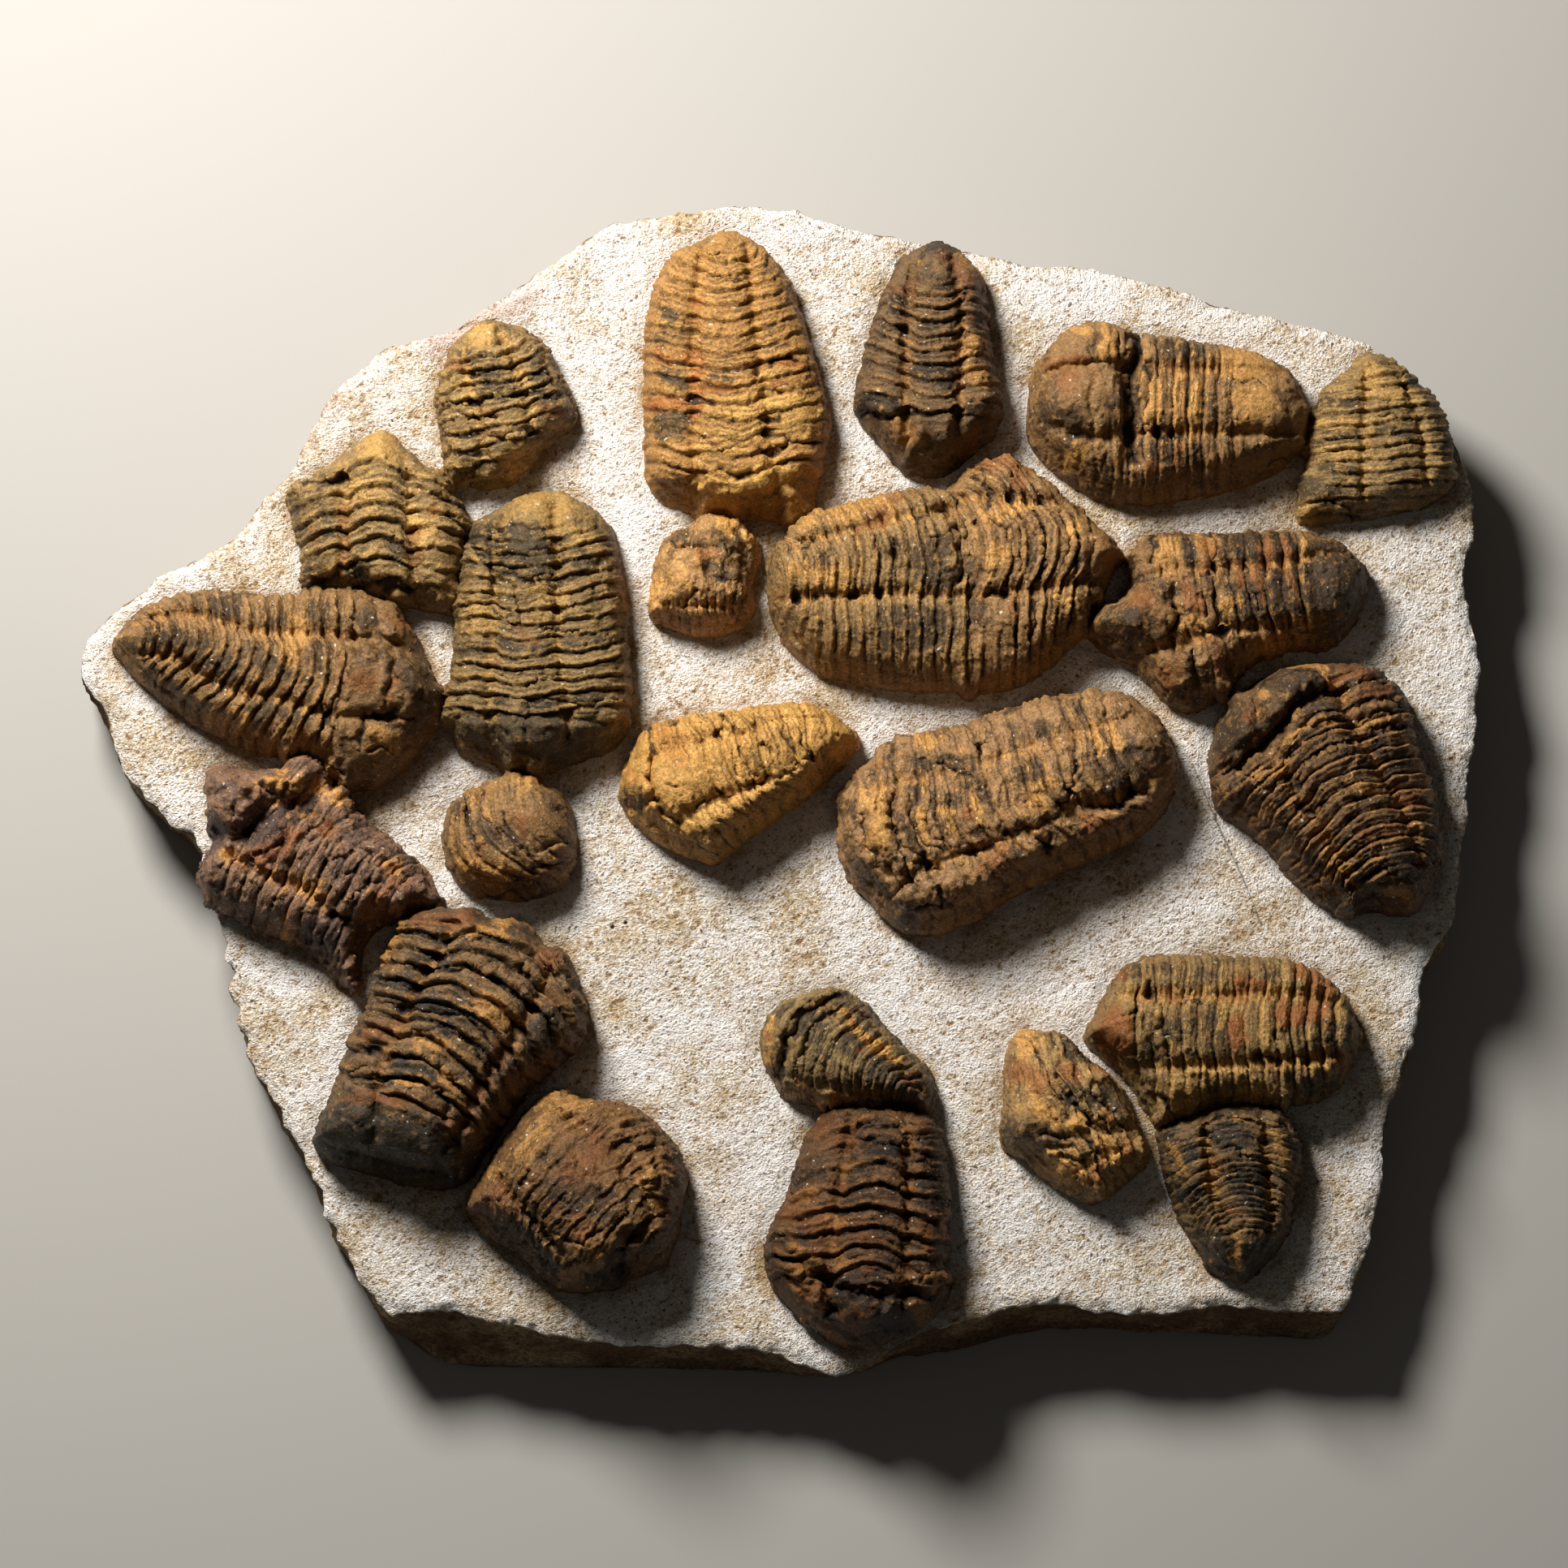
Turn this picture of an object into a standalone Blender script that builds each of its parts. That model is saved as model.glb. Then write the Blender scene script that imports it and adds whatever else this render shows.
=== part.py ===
"""Flexicalymene trilobite cluster: a plate of pale sandy limestone that lies on its back,
with trilobites standing proud of its face. Metres, +Z up out of the plate's face, origin under
the middle of the plate. Places on the plate are measured in millimetres from the lower left
corner of the rectangle that holds it, as with a ruler laid along its left and bottom edges."""

import math

import bmesh
import bpy
import numpy as np

MM = 0.001
PLATE_THICKNESS = 22.0
PLATE_EDGE_SLOPE = 1.6
PLATE_EDGE_ROUND = 1.4
PLATE_FOOT_UNDERCUT = 2.0
PLATE_WIDEST_AT = 6.0
PLATE_MIDDLE = np.array([144.0, 121.0])
PLATE_RAYS = 128
BED_GAP = 0.3
SHELL_RINGS = 12
FLANK_STEEPNESS = 7.0
FURROW_PLACE = 0.40
FURROW_SPREAD = 0.13
FURROW_DEPTH = 0.10

# Left, top and right edges of the plate, from its lower left corner clockwise to its lower right.
PLATE_SIDES = [
    (60.8, 13.3), (57.3, 20.3), (50.7, 32.0), (49.0, 38.7), (42.3, 49.5), (39.0, 56.2),
    (34.8, 65.3), (31.5, 80.3), (29.0, 92.0), (24.0, 107.0), (19.8, 112.0), (11.5, 118.7),
    (7.3, 127.8), (4.8, 133.7), (0.8, 141.5), (0.3, 147.5), (4.0, 153.7), (9.0, 159.0),
    (19.8, 166.2), (30.7, 171.5), (36.0, 178.7), (44.3, 188.7), (49.3, 198.7), (59.8, 209.5),
    (64.0, 212.8), (71.5, 213.7), (80.7, 218.7), (92.3, 226.2), (107.3, 236.7), (114.0, 238.3),
    (134.0, 241.5), (142.3, 241.3), (160.7, 236.2), (175.7, 233.2), (197.3, 229.0),
    (210.7, 228.3), (234.0, 221.2), (260.7, 214.5), (269.0, 209.5), (276.5, 202.0),
    (284.0, 191.2), (288.0, 175.3), (285.3, 167.0), (288.2, 149.2), (286.8, 125.3),
    (283.2, 98.7), (280.7, 87.8), (277.3, 84.5), (274.0, 67.3), (268.7, 50.2), (265.7, 28.7),
    (261.0, 15.3),
]
# Bottom edge from right to left: where the broken side meets the ground, and the lip above it.
PLATE_BOTTOM_FOOT = [
    (258.7, 8.3), (234.0, 8.7), (200.7, 9.8), (180.7, 5.3), (169.0, 4.0), (160.7, 0.7),
    (154.0, 0.0), (130.7, 1.3), (95.0, 1.7), (80.2, 2.0), (72.7, 3.7), (66.0, 8.5),
]
PLATE_BOTTOM_LIP = [
    (257.3, 12.3), (240.5, 14.3), (219.3, 10.6), (200.3, 13.6), (186.8, 11.5), (167.7, 6.2),
    (154.3, 2.6), (137.3, 4.4), (110.0, 5.6), (95.0, 8.4), (84.0, 12.4), (78.0, 15.0),
    (70.7, 13.6), (64.8, 11.2),
]

# Each trilobite: name, shell colour, height over the plate, ends of its ridge, outline.
TRILOBITES = [
    ("trilobite_01_small_upper_left", "6E5330", 11.0, [(84.0, 209.5), (87.0, 190.0)], [
        (83.0, 216.3), (76.7, 211.2), (73.7, 203.7), (73.3, 198.7), (74.9, 188.7), (76.8, 184.2),
        (81.0, 182.3), (87.3, 182.4), (92.3, 187.0), (96.5, 191.2), (102.0, 196.2),
        (100.2, 202.8), (96.5, 210.3), (92.5, 214.2), (88.2, 215.9)]),
    ("trilobite_02_headless_left", "6B4E28", 12.0, [(61.8, 183.0), (64.0, 166.0)], [
        (61.5, 193.8), (57.3, 191.2), (49.8, 185.3), (43.5, 182.0), (42.7, 179.5), (44.3, 172.8),
        (45.7, 168.7), (46.5, 161.8), (55.7, 161.3), (64.0, 158.8), (72.0, 156.4), (76.5, 157.3),
        (77.6, 162.0), (78.3, 168.7), (79.8, 174.0), (79.2, 177.8), (76.6, 181.0), (73.8, 184.3),
        (68.5, 188.7), (64.8, 192.8)]),
    ("trilobite_03_tall_left", "5C4529", 14.0, [(94.2, 171.5), (93.5, 138.0)], [
        (93.5, 180.9), (88.0, 178.6), (84.3, 176.7), (82.2, 174.3), (80.8, 171.0), (79.6, 165.0),
        (78.3, 157.0), (77.0, 148.0), (76.3, 138.7), (76.2, 132.0), (78.3, 127.8), (82.5, 126.0),
        (87.5, 124.6), (92.5, 123.2), (97.3, 123.4), (101.0, 124.6), (104.5, 126.4),
        (108.2, 127.2), (111.5, 129.5), (113.7, 135.3), (113.7, 142.0), (112.5, 155.3),
        (111.5, 165.0), (110.2, 172.0), (108.2, 175.3), (105.7, 177.8), (101.5, 180.0),
        (97.3, 181.2)]),
    ("trilobite_04_long_far_left", "6A4F2C", 15.0, [(20.0, 148.0), (42.0, 143.2), (61.0, 139.0)], [
        (7.0, 149.0), (8.3, 152.3), (14.0, 157.0), (19.8, 159.2), (28.2, 160.3), (41.5, 159.0),
        (50.0, 159.3), (59.5, 158.4), (65.5, 155.8), (68.7, 152.7), (71.3, 146.7), (74.0, 140.3),
        (74.3, 136.8), (73.4, 132.8), (70.5, 127.8), (65.0, 122.3), (60.3, 119.6), (56.5, 120.0),
        (52.6, 122.8), (48.3, 126.8), (39.0, 126.7), (33.3, 128.8), (24.8, 132.8), (16.5, 138.3),
        (9.8, 144.5)]),
    ("trilobite_05_slanted_left", "4A3628", 15.0, [(60.0, 97.0), (41.0, 112.0)], [
        (26.7, 122.5), (29.7, 124.0), (39.8, 123.3), (45.8, 125.2), (49.2, 123.8), (51.7, 120.0),
        (56.0, 117.3), (60.2, 112.3), (65.3, 108.8), (71.3, 103.0), (74.3, 98.3), (73.8, 96.2),
        (65.3, 92.8), (61.2, 90.3), (58.8, 86.7), (58.3, 82.0), (57.6, 78.3), (54.5, 79.5),
        (50.0, 84.2), (45.0, 87.7), (38.2, 90.2), (31.3, 93.7), (26.7, 96.2), (25.0, 101.2),
        (26.2, 105.5), (28.4, 108.2), (27.0, 111.5), (26.6, 117.3)]),
    ("trilobite_06_broad_lower_left", "4F3E28", 20.0, [(81.0, 84.0), (67.0, 53.0)], [
        (67.3, 91.0), (72.7, 93.2), (78.7, 95.2), (82.3, 94.7), (84.7, 92.8), (89.2, 93.2),
        (93.5, 91.0), (95.8, 87.3), (98.8, 87.0), (101.0, 84.7), (103.2, 78.7), (104.7, 74.3),
        (103.7, 68.3), (101.0, 64.7), (94.3, 58.9), (91.2, 55.5), (88.3, 51.0), (84.5, 45.3),
        (80.3, 39.6), (77.0, 38.0), (70.0, 38.3), (60.7, 40.7), (52.3, 43.3), (48.8, 46.7),
        (49.5, 50.3), (52.0, 55.7), (54.2, 61.7), (56.3, 68.3), (59.4, 74.3), (61.8, 80.0),
        (64.2, 87.0)]),
    ("trilobite_07_rolled_bottom_left", "5F4526", 20.0, [(97.0, 43.0), (107.0, 32.0)], [
        (87.8, 47.8), (91.6, 52.6), (95.6, 56.6), (99.5, 57.8), (104.0, 56.3), (112.2, 55.0),
        (116.7, 53.0), (121.8, 48.2), (124.8, 42.3), (125.2, 38.5), (124.2, 34.2), (123.3, 28.2),
        (120.3, 22.2), (114.3, 20.0), (110.0, 17.7), (104.0, 16.7), (99.5, 17.3), (95.0, 20.7),
        (89.8, 25.2), (84.7, 28.2), (80.5, 32.7), (80.9, 36.4), (83.4, 41.0)]),
    ("trilobite_08_small_rolled", "67502F", 13.0, [(84.0, 108.5), (93.0, 112.0)], [
        (82.3, 120.3), (86.0, 121.6), (89.3, 122.0), (92.2, 121.3), (96.3, 120.2), (99.3, 118.6),
        (101.3, 115.5), (102.3, 111.3), (102.2, 105.3), (100.0, 100.5), (95.8, 97.8),
        (89.2, 97.0), (82.3, 97.8), (78.2, 100.3), (75.5, 105.5), (75.0, 111.5), (76.3, 115.8),
        (79.0, 118.5)]),
    ("trilobite_09_tall_top", "8A6530", 13.0, [(133.5, 222.0), (134.8, 190.0)], [
        (131.5, 235.0), (125.7, 232.3), (122.0, 230.3), (119.3, 226.2), (117.2, 220.5),
        (116.2, 210.3), (116.2, 193.7), (116.5, 185.3), (118.0, 181.3), (121.0, 179.0),
        (125.0, 177.4), (130.0, 176.6), (139.0, 176.0), (146.5, 174.9), (150.3, 177.4),
        (152.3, 183.7), (154.5, 193.7), (153.8, 199.2), (151.0, 210.3), (147.7, 220.5),
        (145.8, 225.8), (142.8, 229.8), (138.8, 233.3), (135.3, 234.8)]),
    ("trilobite_10_dark_top", "4B3C28", 13.0, [(176.5, 222.0), (175.2, 198.0)], [
        (176.5, 232.8), (171.5, 231.2), (168.2, 228.5), (165.7, 222.8), (163.2, 215.3),
        (160.7, 207.0), (159.8, 202.0), (160.2, 196.7), (162.5, 190.7), (168.2, 186.7),
        (171.5, 185.2), (176.5, 184.4), (180.5, 186.0), (184.7, 189.6), (188.5, 193.5),
        (190.0, 198.2), (190.0, 202.0), (188.0, 209.0), (187.0, 218.7), (186.0, 225.2),
        (183.3, 229.3), (180.3, 232.0)]),
    ("trilobite_11_curled_fragment", "66492C", 11.0, [(125.5, 163.5), (132.5, 163.5)], [
        (117.3, 155.3), (117.7, 160.3), (118.3, 166.2), (120.0, 170.7), (122.3, 172.8),
        (125.5, 174.0), (129.3, 174.6), (133.5, 174.4), (137.0, 173.4), (139.2, 171.6),
        (139.7, 168.7), (138.9, 161.7), (139.4, 157.8), (138.6, 154.8), (134.5, 152.3),
        (130.0, 151.5), (125.7, 151.8), (121.0, 153.7)]),
    ("trilobite_12_pair_left", "6B5030", 15.0, [(152.0, 164.5), (176.5, 165.0)], [
        (141.3, 163.0), (141.5, 166.5), (143.2, 170.0), (146.9, 172.8), (151.2, 175.6),
        (155.7, 177.6), (160.7, 179.3), (170.7, 181.3), (175.4, 181.5), (178.2, 179.0),
        (180.6, 173.7), (181.5, 165.3), (181.5, 155.3), (182.0, 147.0), (182.0, 141.0),
        (175.7, 139.8), (167.3, 140.5), (159.0, 142.0), (150.7, 144.5), (144.8, 150.3),
        (142.2, 156.0)]),
    ("trilobite_13_pair_right", "664A2B", 16.0, [(187.0, 166.0), (204.0, 166.5)], [
        (185.7, 187.0), (191.7, 188.0), (195.0, 185.6), (200.5, 182.2), (204.3, 178.3),
        (209.0, 174.3), (212.1, 171.3), (213.5, 167.3), (213.2, 163.3), (210.8, 159.7),
        (207.4, 156.7), (206.2, 152.0), (201.0, 146.2), (194.0, 141.2), (188.3, 139.8),
        (183.6, 140.4), (182.9, 147.0), (182.4, 155.3), (182.4, 165.3), (181.9, 173.7),
        (180.1, 178.9), (180.3, 183.7)]),
    ("trilobite_14_upper_right", "5E482B", 14.0, [(240.0, 198.0), (209.0, 198.0)], [
        (195.3, 200.3), (196.5, 206.2), (199.2, 210.3), (202.7, 214.2), (207.3, 216.0),
        (210.7, 216.0), (217.3, 214.0), (225.0, 212.7), (234.0, 211.2), (242.3, 209.5),
        (248.7, 206.5), (251.5, 202.7), (252.3, 197.0), (252.0, 193.0), (250.3, 189.3),
        (247.3, 185.8), (243.0, 183.5), (236.7, 181.7), (228.2, 179.8), (217.3, 178.6),
        (210.7, 179.6), (205.3, 182.1), (200.7, 185.5), (197.0, 189.2), (195.0, 193.5)]),
    ("trilobite_15_tail_far_right", "66502F", 9.0, [(266.5, 200.0), (268.0, 184.0)], [
        (264.3, 209.8), (260.7, 206.2), (256.3, 202.8), (255.0, 199.3), (254.0, 195.0),
        (252.6, 187.0), (251.0, 182.0), (250.8, 176.0), (254.0, 174.8), (264.0, 175.6),
        (269.0, 176.3), (275.7, 178.0), (280.7, 180.5), (283.4, 183.8), (283.0, 188.3),
        (281.8, 195.3), (279.5, 200.2), (275.7, 204.3), (272.0, 207.8), (268.2, 209.7)]),
    ("trilobite_16_middle_right", "5A4229", 14.0, [(252.0, 161.0), (224.0, 156.5)], [
        (208.3, 152.7), (210.0, 155.6), (213.2, 157.9), (215.6, 161.0), (215.9, 165.3),
        (216.7, 169.3), (220.3, 172.0), (234.0, 172.3), (249.0, 172.6), (254.8, 172.0),
        (259.5, 170.4), (264.0, 166.2), (265.0, 162.7), (264.3, 158.3), (261.2, 152.2),
        (257.0, 148.8), (250.5, 148.3), (244.5, 146.9), (240.2, 144.4), (235.0, 138.8),
        (229.3, 135.9), (225.0, 136.6), (221.5, 139.7), (218.8, 143.0), (216.0, 145.5),
        (212.0, 147.2), (209.2, 149.3)]),
    ("trilobite_17_dark_right", "3F3125", 18.0, [(266.0, 107.0), (249.0, 132.0)], [
        (232.3, 123.5), (232.5, 128.0), (234.0, 132.8), (236.0, 136.0), (238.1, 138.3),
        (242.0, 142.0), (247.0, 144.4), (252.7, 145.3), (258.0, 145.2), (263.8, 144.7),
        (268.7, 142.2), (272.5, 138.2), (274.0, 129.8), (276.0, 124.0), (278.0, 119.2),
        (279.0, 113.3), (279.7, 107.5), (279.0, 103.5), (277.5, 99.2), (275.0, 94.7),
        (271.2, 94.0), (265.2, 94.7), (260.3, 93.0), (256.5, 95.2), (251.5, 98.7),
        (247.7, 103.0), (244.7, 107.0), (240.8, 110.3), (236.8, 113.8), (233.5, 116.2)]),
    ("trilobite_18_ochre_middle", "8A652C", 15.0, [(148.5, 127.5), (125.0, 120.0)], [
        (111.2, 118.0), (111.5, 121.7), (113.3, 126.7), (115.7, 131.0), (120.5, 133.7),
        (130.0, 135.0), (140.0, 136.5), (146.7, 137.3), (151.2, 136.8), (155.7, 134.5),
        (159.4, 131.7), (160.4, 129.0), (158.6, 126.0), (155.7, 123.1), (150.3, 118.5),
        (142.3, 112.8), (136.8, 109.0), (133.2, 105.8), (130.5, 104.2), (127.3, 105.0),
        (120.8, 107.7), (116.0, 111.0), (113.0, 113.8)]),
    ("trilobite_19_large_middle", "6A5033", 18.0, [(211.0, 124.0), (173.0, 108.0)], [
        (156.0, 113.7), (156.5, 118.0), (159.0, 121.7), (162.0, 125.0), (165.2, 128.4),
        (170.0, 130.3), (182.3, 132.8), (189.0, 135.3), (195.7, 137.5), (202.3, 138.8),
        (209.0, 139.5), (214.0, 139.2), (217.3, 137.9), (220.7, 135.0), (223.2, 132.0),
        (225.3, 127.0), (225.3, 120.3), (222.3, 113.7), (215.7, 108.7), (205.7, 104.5),
        (195.7, 99.5), (185.7, 93.7), (180.7, 91.2), (175.7, 89.8), (169.0, 90.7),
        (165.7, 93.7), (159.8, 99.5), (157.3, 103.7), (156.2, 107.8)]),
    ("trilobite_20_bottom_upper", "4C3D27", 12.0, [(166.0, 61.0), (153.0, 69.0)], [
        (140.2, 67.8), (141.5, 73.0), (145.7, 76.3), (151.7, 78.2), (156.8, 78.5),
        (161.0, 76.3), (165.3, 71.3), (170.3, 66.2), (174.7, 62.0), (176.2, 58.5),
        (176.0, 55.0), (173.5, 53.8), (168.7, 54.4), (160.2, 55.0), (153.3, 54.8),
        (148.3, 55.2), (144.8, 56.8), (142.2, 60.8), (140.5, 64.3)]),
    ("trilobite_21_bottom_long", "45331F", 15.0, [(165.0, 42.0), (160.5, 21.0)], [
        (152.0, 51.5), (157.2, 53.2), (164.0, 53.3), (170.7, 52.5), (176.6, 50.6),
        (178.0, 45.0), (178.8, 38.7), (178.8, 31.0), (178.3, 23.3), (179.0, 18.5),
        (178.0, 14.7), (173.5, 10.0), (167.8, 7.4), (162.0, 5.6), (156.3, 6.4), (150.5, 9.2),
        (145.8, 13.8), (142.0, 19.5), (141.0, 24.3), (142.0, 29.2), (144.8, 34.8),
        (146.7, 40.5), (148.7, 46.7)]),
    ("trilobite_22_curled_lower_right", "6B5233", 13.0, [(199.0, 59.0), (208.0, 45.0)], [
        (190.0, 61.7), (190.7, 66.3), (193.0, 69.8), (198.2, 70.0), (202.2, 69.2),
        (205.5, 66.0), (207.9, 63.6), (211.2, 61.5), (214.1, 58.3), (216.1, 54.7),
        (217.1, 51.0), (219.2, 47.3), (219.5, 43.5), (216.5, 40.5), (211.8, 36.8),
        (208.8, 35.0), (204.2, 36.3), (198.3, 39.7), (194.5, 43.5), (190.7, 45.5),
        (189.2, 49.3), (189.8, 55.3)]),
    ("trilobite_23_long_lower_right", "665030", 14.0, [(250.0, 70.5), (222.0, 70.5)], [
        (206.5, 69.0), (208.8, 74.0), (211.8, 79.8), (215.7, 83.7), (221.3, 85.5),
        (230.8, 85.5), (240.5, 85.0), (249.0, 84.2), (254.8, 81.7), (259.7, 77.0),
        (262.5, 71.2), (263.0, 68.3), (261.0, 62.7), (257.7, 57.8), (252.0, 55.2),
        (245.3, 54.9), (238.5, 55.3), (230.8, 54.1), (226.2, 52.6), (221.5, 51.4),
        (218.3, 55.0), (215.7, 59.3), (212.7, 62.5), (209.6, 65.0)]),
    ("trilobite_24_tail_lower_right", "4A3D25", 11.0, [(238.5, 31.0), (236.5, 43.0)], [
        (221.7, 49.0), (227.0, 51.0), (231.2, 52.6), (236.0, 53.8), (240.7, 53.6),
        (247.3, 52.2), (250.2, 49.0), (250.7, 42.5), (249.0, 34.8), (248.2, 29.2),
        (244.3, 23.3), (239.5, 19.0), (235.7, 19.5), (231.8, 21.5), (229.0, 26.2),
        (226.2, 31.0), (223.3, 37.7), (221.8, 43.5)]),
]


def linear_colour(hex_colour):
    """An sRGB hex colour as the linear values that a shader takes."""
    channels = [int(hex_colour[i:i + 2], 16) / 255 for i in (0, 2, 4)]
    return [c / 12.92 if c <= 0.04045 else ((c + 0.055) / 1.055) ** 2.4 for c in channels]


def stone_material(name, hex_colour, roughness):
    material = bpy.data.materials.new(name)
    material.use_nodes = True
    shader = material.node_tree.nodes["Principled BSDF"]
    shader.inputs["Base Color"].default_value = (*linear_colour(hex_colour), 1.0)
    shader.inputs["Roughness"].default_value = roughness
    shader.inputs["Metallic"].default_value = 0.0
    return material


def smooth_outline(points, samples):
    """A closed curve through the points, as this many points evenly spaced along it."""
    knots = np.array(points)
    before, after, beyond = (np.roll(knots, shift, axis=0) for shift in (1, -1, -2))
    steps = np.linspace(0, 1, 12, endpoint=False)[None, :, None]
    middle = knots[:, None]
    curve = 0.5 * (
        2 * middle
        + (after - before)[:, None] * steps
        + (2 * before - 5 * knots + 4 * after - beyond)[:, None] * steps ** 2
        + (3 * knots - before - 3 * after + beyond)[:, None] * steps ** 3
    )
    curve = curve.reshape(-1, 2)
    closed = np.vstack([curve, curve[:1]])
    travelled = np.concatenate([[0], np.cumsum(np.linalg.norm(np.diff(closed, axis=0), axis=1))])
    wanted = np.linspace(0, travelled[-1], samples, endpoint=False)
    return np.column_stack([np.interp(wanted, travelled, closed[:, axis]) for axis in (0, 1)])


def distance_to_path(point, path):
    """Shortest distance from a point to a line of straight runs."""
    starts, ends = np.array(path[:-1]), np.array(path[1:])
    runs = ends - starts
    share = ((point - starts) * runs).sum(axis=1) / np.maximum((runs ** 2).sum(axis=1), 1e-12)
    nearest = starts + np.clip(share, 0, 1)[:, None] * runs
    return float(np.linalg.norm(point - nearest, axis=1).min())


def plate_ring(outline, inset):
    """The plate's outline drawn in by the inset, as one point on each ray from its middle."""
    offsets = outline - PLATE_MIDDLE
    angles = np.arctan2(offsets[:, 1], offsets[:, 0])
    rays = np.arange(PLATE_RAYS) * 2 * math.pi / PLATE_RAYS
    radii = np.interp(rays, angles, np.linalg.norm(offsets, axis=1), period=2 * math.pi) - inset
    return PLATE_MIDDLE + radii[:, None] * np.column_stack([np.cos(rays), np.sin(rays)])


def add_object(name, mesh_builder, material, collection):
    mesh = bpy.data.meshes.new(name)
    mesh_builder.to_mesh(mesh)
    mesh_builder.free()
    mesh.materials.append(material)
    mesh.shade_smooth()
    mesh.set_sharp_from_angle(angle=math.radians(40))
    piece = bpy.data.objects.new(name, mesh)
    collection.objects.link(piece)
    return piece


def plate_levels():
    """Rings of the plate from the ground up: each one's height and its points."""
    foot = smooth_outline(PLATE_SIDES + PLATE_BOTTOM_FOOT, 600)
    lip = smooth_outline(PLATE_SIDES + PLATE_BOTTOM_LIP, 600)
    return [
        (0.0, plate_ring(foot, PLATE_FOOT_UNDERCUT)),
        (PLATE_WIDEST_AT, plate_ring(foot, 0.0)),
        (PLATE_THICKNESS - PLATE_EDGE_ROUND, plate_ring(lip, PLATE_EDGE_SLOPE)),
        (PLATE_THICKNESS, plate_ring(lip, PLATE_EDGE_SLOPE + PLATE_EDGE_ROUND)),
    ]


def matrix_slab(levels, centre, material, collection):
    """The plate: flat underneath and on its face, with a broken side that leans outwards."""
    plate = bmesh.new()
    bmesh.ops.create_cone(
        plate, cap_ends=True, segments=PLATE_RAYS, radius1=1, radius2=1, depth=len(levels) - 1
    )
    upright = [edge for edge in plate.edges if abs(edge.verts[0].co.z - edge.verts[1].co.z) > 1]
    bmesh.ops.subdivide_edges(plate, edges=upright, cuts=len(levels) - 2, use_grid_fill=False)
    lowest = min(vertex.co.z for vertex in plate.verts)
    for vertex in plate.verts:
        height, ring = levels[round(vertex.co.z - lowest)]
        turn = math.atan2(vertex.co.y, vertex.co.x) / (2 * math.pi)
        place = ring[round(turn * PLATE_RAYS) % PLATE_RAYS] - centre
        vertex.co = (place[0] * MM, place[1] * MM, height * MM)
    plate.normal_update()
    bmesh.ops.recalc_face_normals(plate, faces=plate.faces)
    return add_object("matrix_slab", plate, material, collection)


def shell_height(point, ridge, outline):
    """Share of the full height: three low lobes across the ridge, and steep flanks."""
    to_ridge = distance_to_path(point, ridge)
    to_edge = distance_to_path(point, np.vstack([outline, outline[:1]]))
    across = to_ridge / max(to_ridge + to_edge, 1e-9)
    furrow = math.exp(-(((across - FURROW_PLACE) / FURROW_SPREAD) ** 2))
    flank = math.sqrt(max(0.0, 1 - across ** FLANK_STEEPNESS))
    return flank * (1 - 0.25 * across) * (1 - FURROW_DEPTH * furrow)


def trilobite(name, height, ridge, outline, centre, material, collection):
    """One shell on a flat base: half a sphere spread over the outline of the fossil."""
    corners = np.array(outline)
    middle = corners.mean(axis=0)
    shell = bmesh.new()
    bmesh.ops.create_uvsphere(
        shell, u_segments=len(corners), v_segments=SHELL_RINGS, radius=1
    )
    lower = [vertex for vertex in shell.verts if vertex.co.z < -0.01]
    bmesh.ops.delete(shell, geom=lower, context="VERTS")
    rim = [edge for edge in shell.edges if edge.is_boundary]
    bmesh.ops.contextual_create(shell, geom=rim)
    for vertex in shell.verts:
        turn = math.atan2(vertex.co.y, vertex.co.x) / (2 * math.pi)
        corner = corners[round(turn * len(corners)) % len(corners)]
        reach = min(1.0, math.hypot(vertex.co.x, vertex.co.y))
        place = middle + reach * (corner - middle)
        rise = height * shell_height(place, ridge, corners) if vertex.co.z > 0.01 else 0.0
        vertex.co = (
            (place[0] - centre[0]) * MM,
            (place[1] - centre[1]) * MM,
            (PLATE_THICKNESS + BED_GAP + rise) * MM,
        )
    shell.normal_update()
    bmesh.ops.recalc_face_normals(shell, faces=shell.faces)
    return add_object(name, shell, material, collection)


def build():
    for leftover in list(bpy.data.objects):
        bpy.data.objects.remove(leftover)
    cluster = bpy.data.collections.new("flexicalymene_trilobite_cluster")
    bpy.context.scene.collection.children.link(cluster)
    levels = plate_levels()
    widest = np.vstack([ring for _, ring in levels])
    centre = (widest.min(axis=0) + widest.max(axis=0)) / 2
    limestone = stone_material("sandy_limestone", "D9CFBD", 0.92)
    matrix_slab(levels, centre, limestone, cluster)
    for name, colour, height, ridge, outline in TRILOBITES:
        fossil_stone = stone_material(name + "_stone", colour, 0.72)
        trilobite(name, height, ridge, outline, centre, fossil_stone, cluster)


build()
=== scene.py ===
import math

import bpy
import numpy as np
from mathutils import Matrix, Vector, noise
from mathutils.geometry import delaunay_2d_cdt


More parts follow.
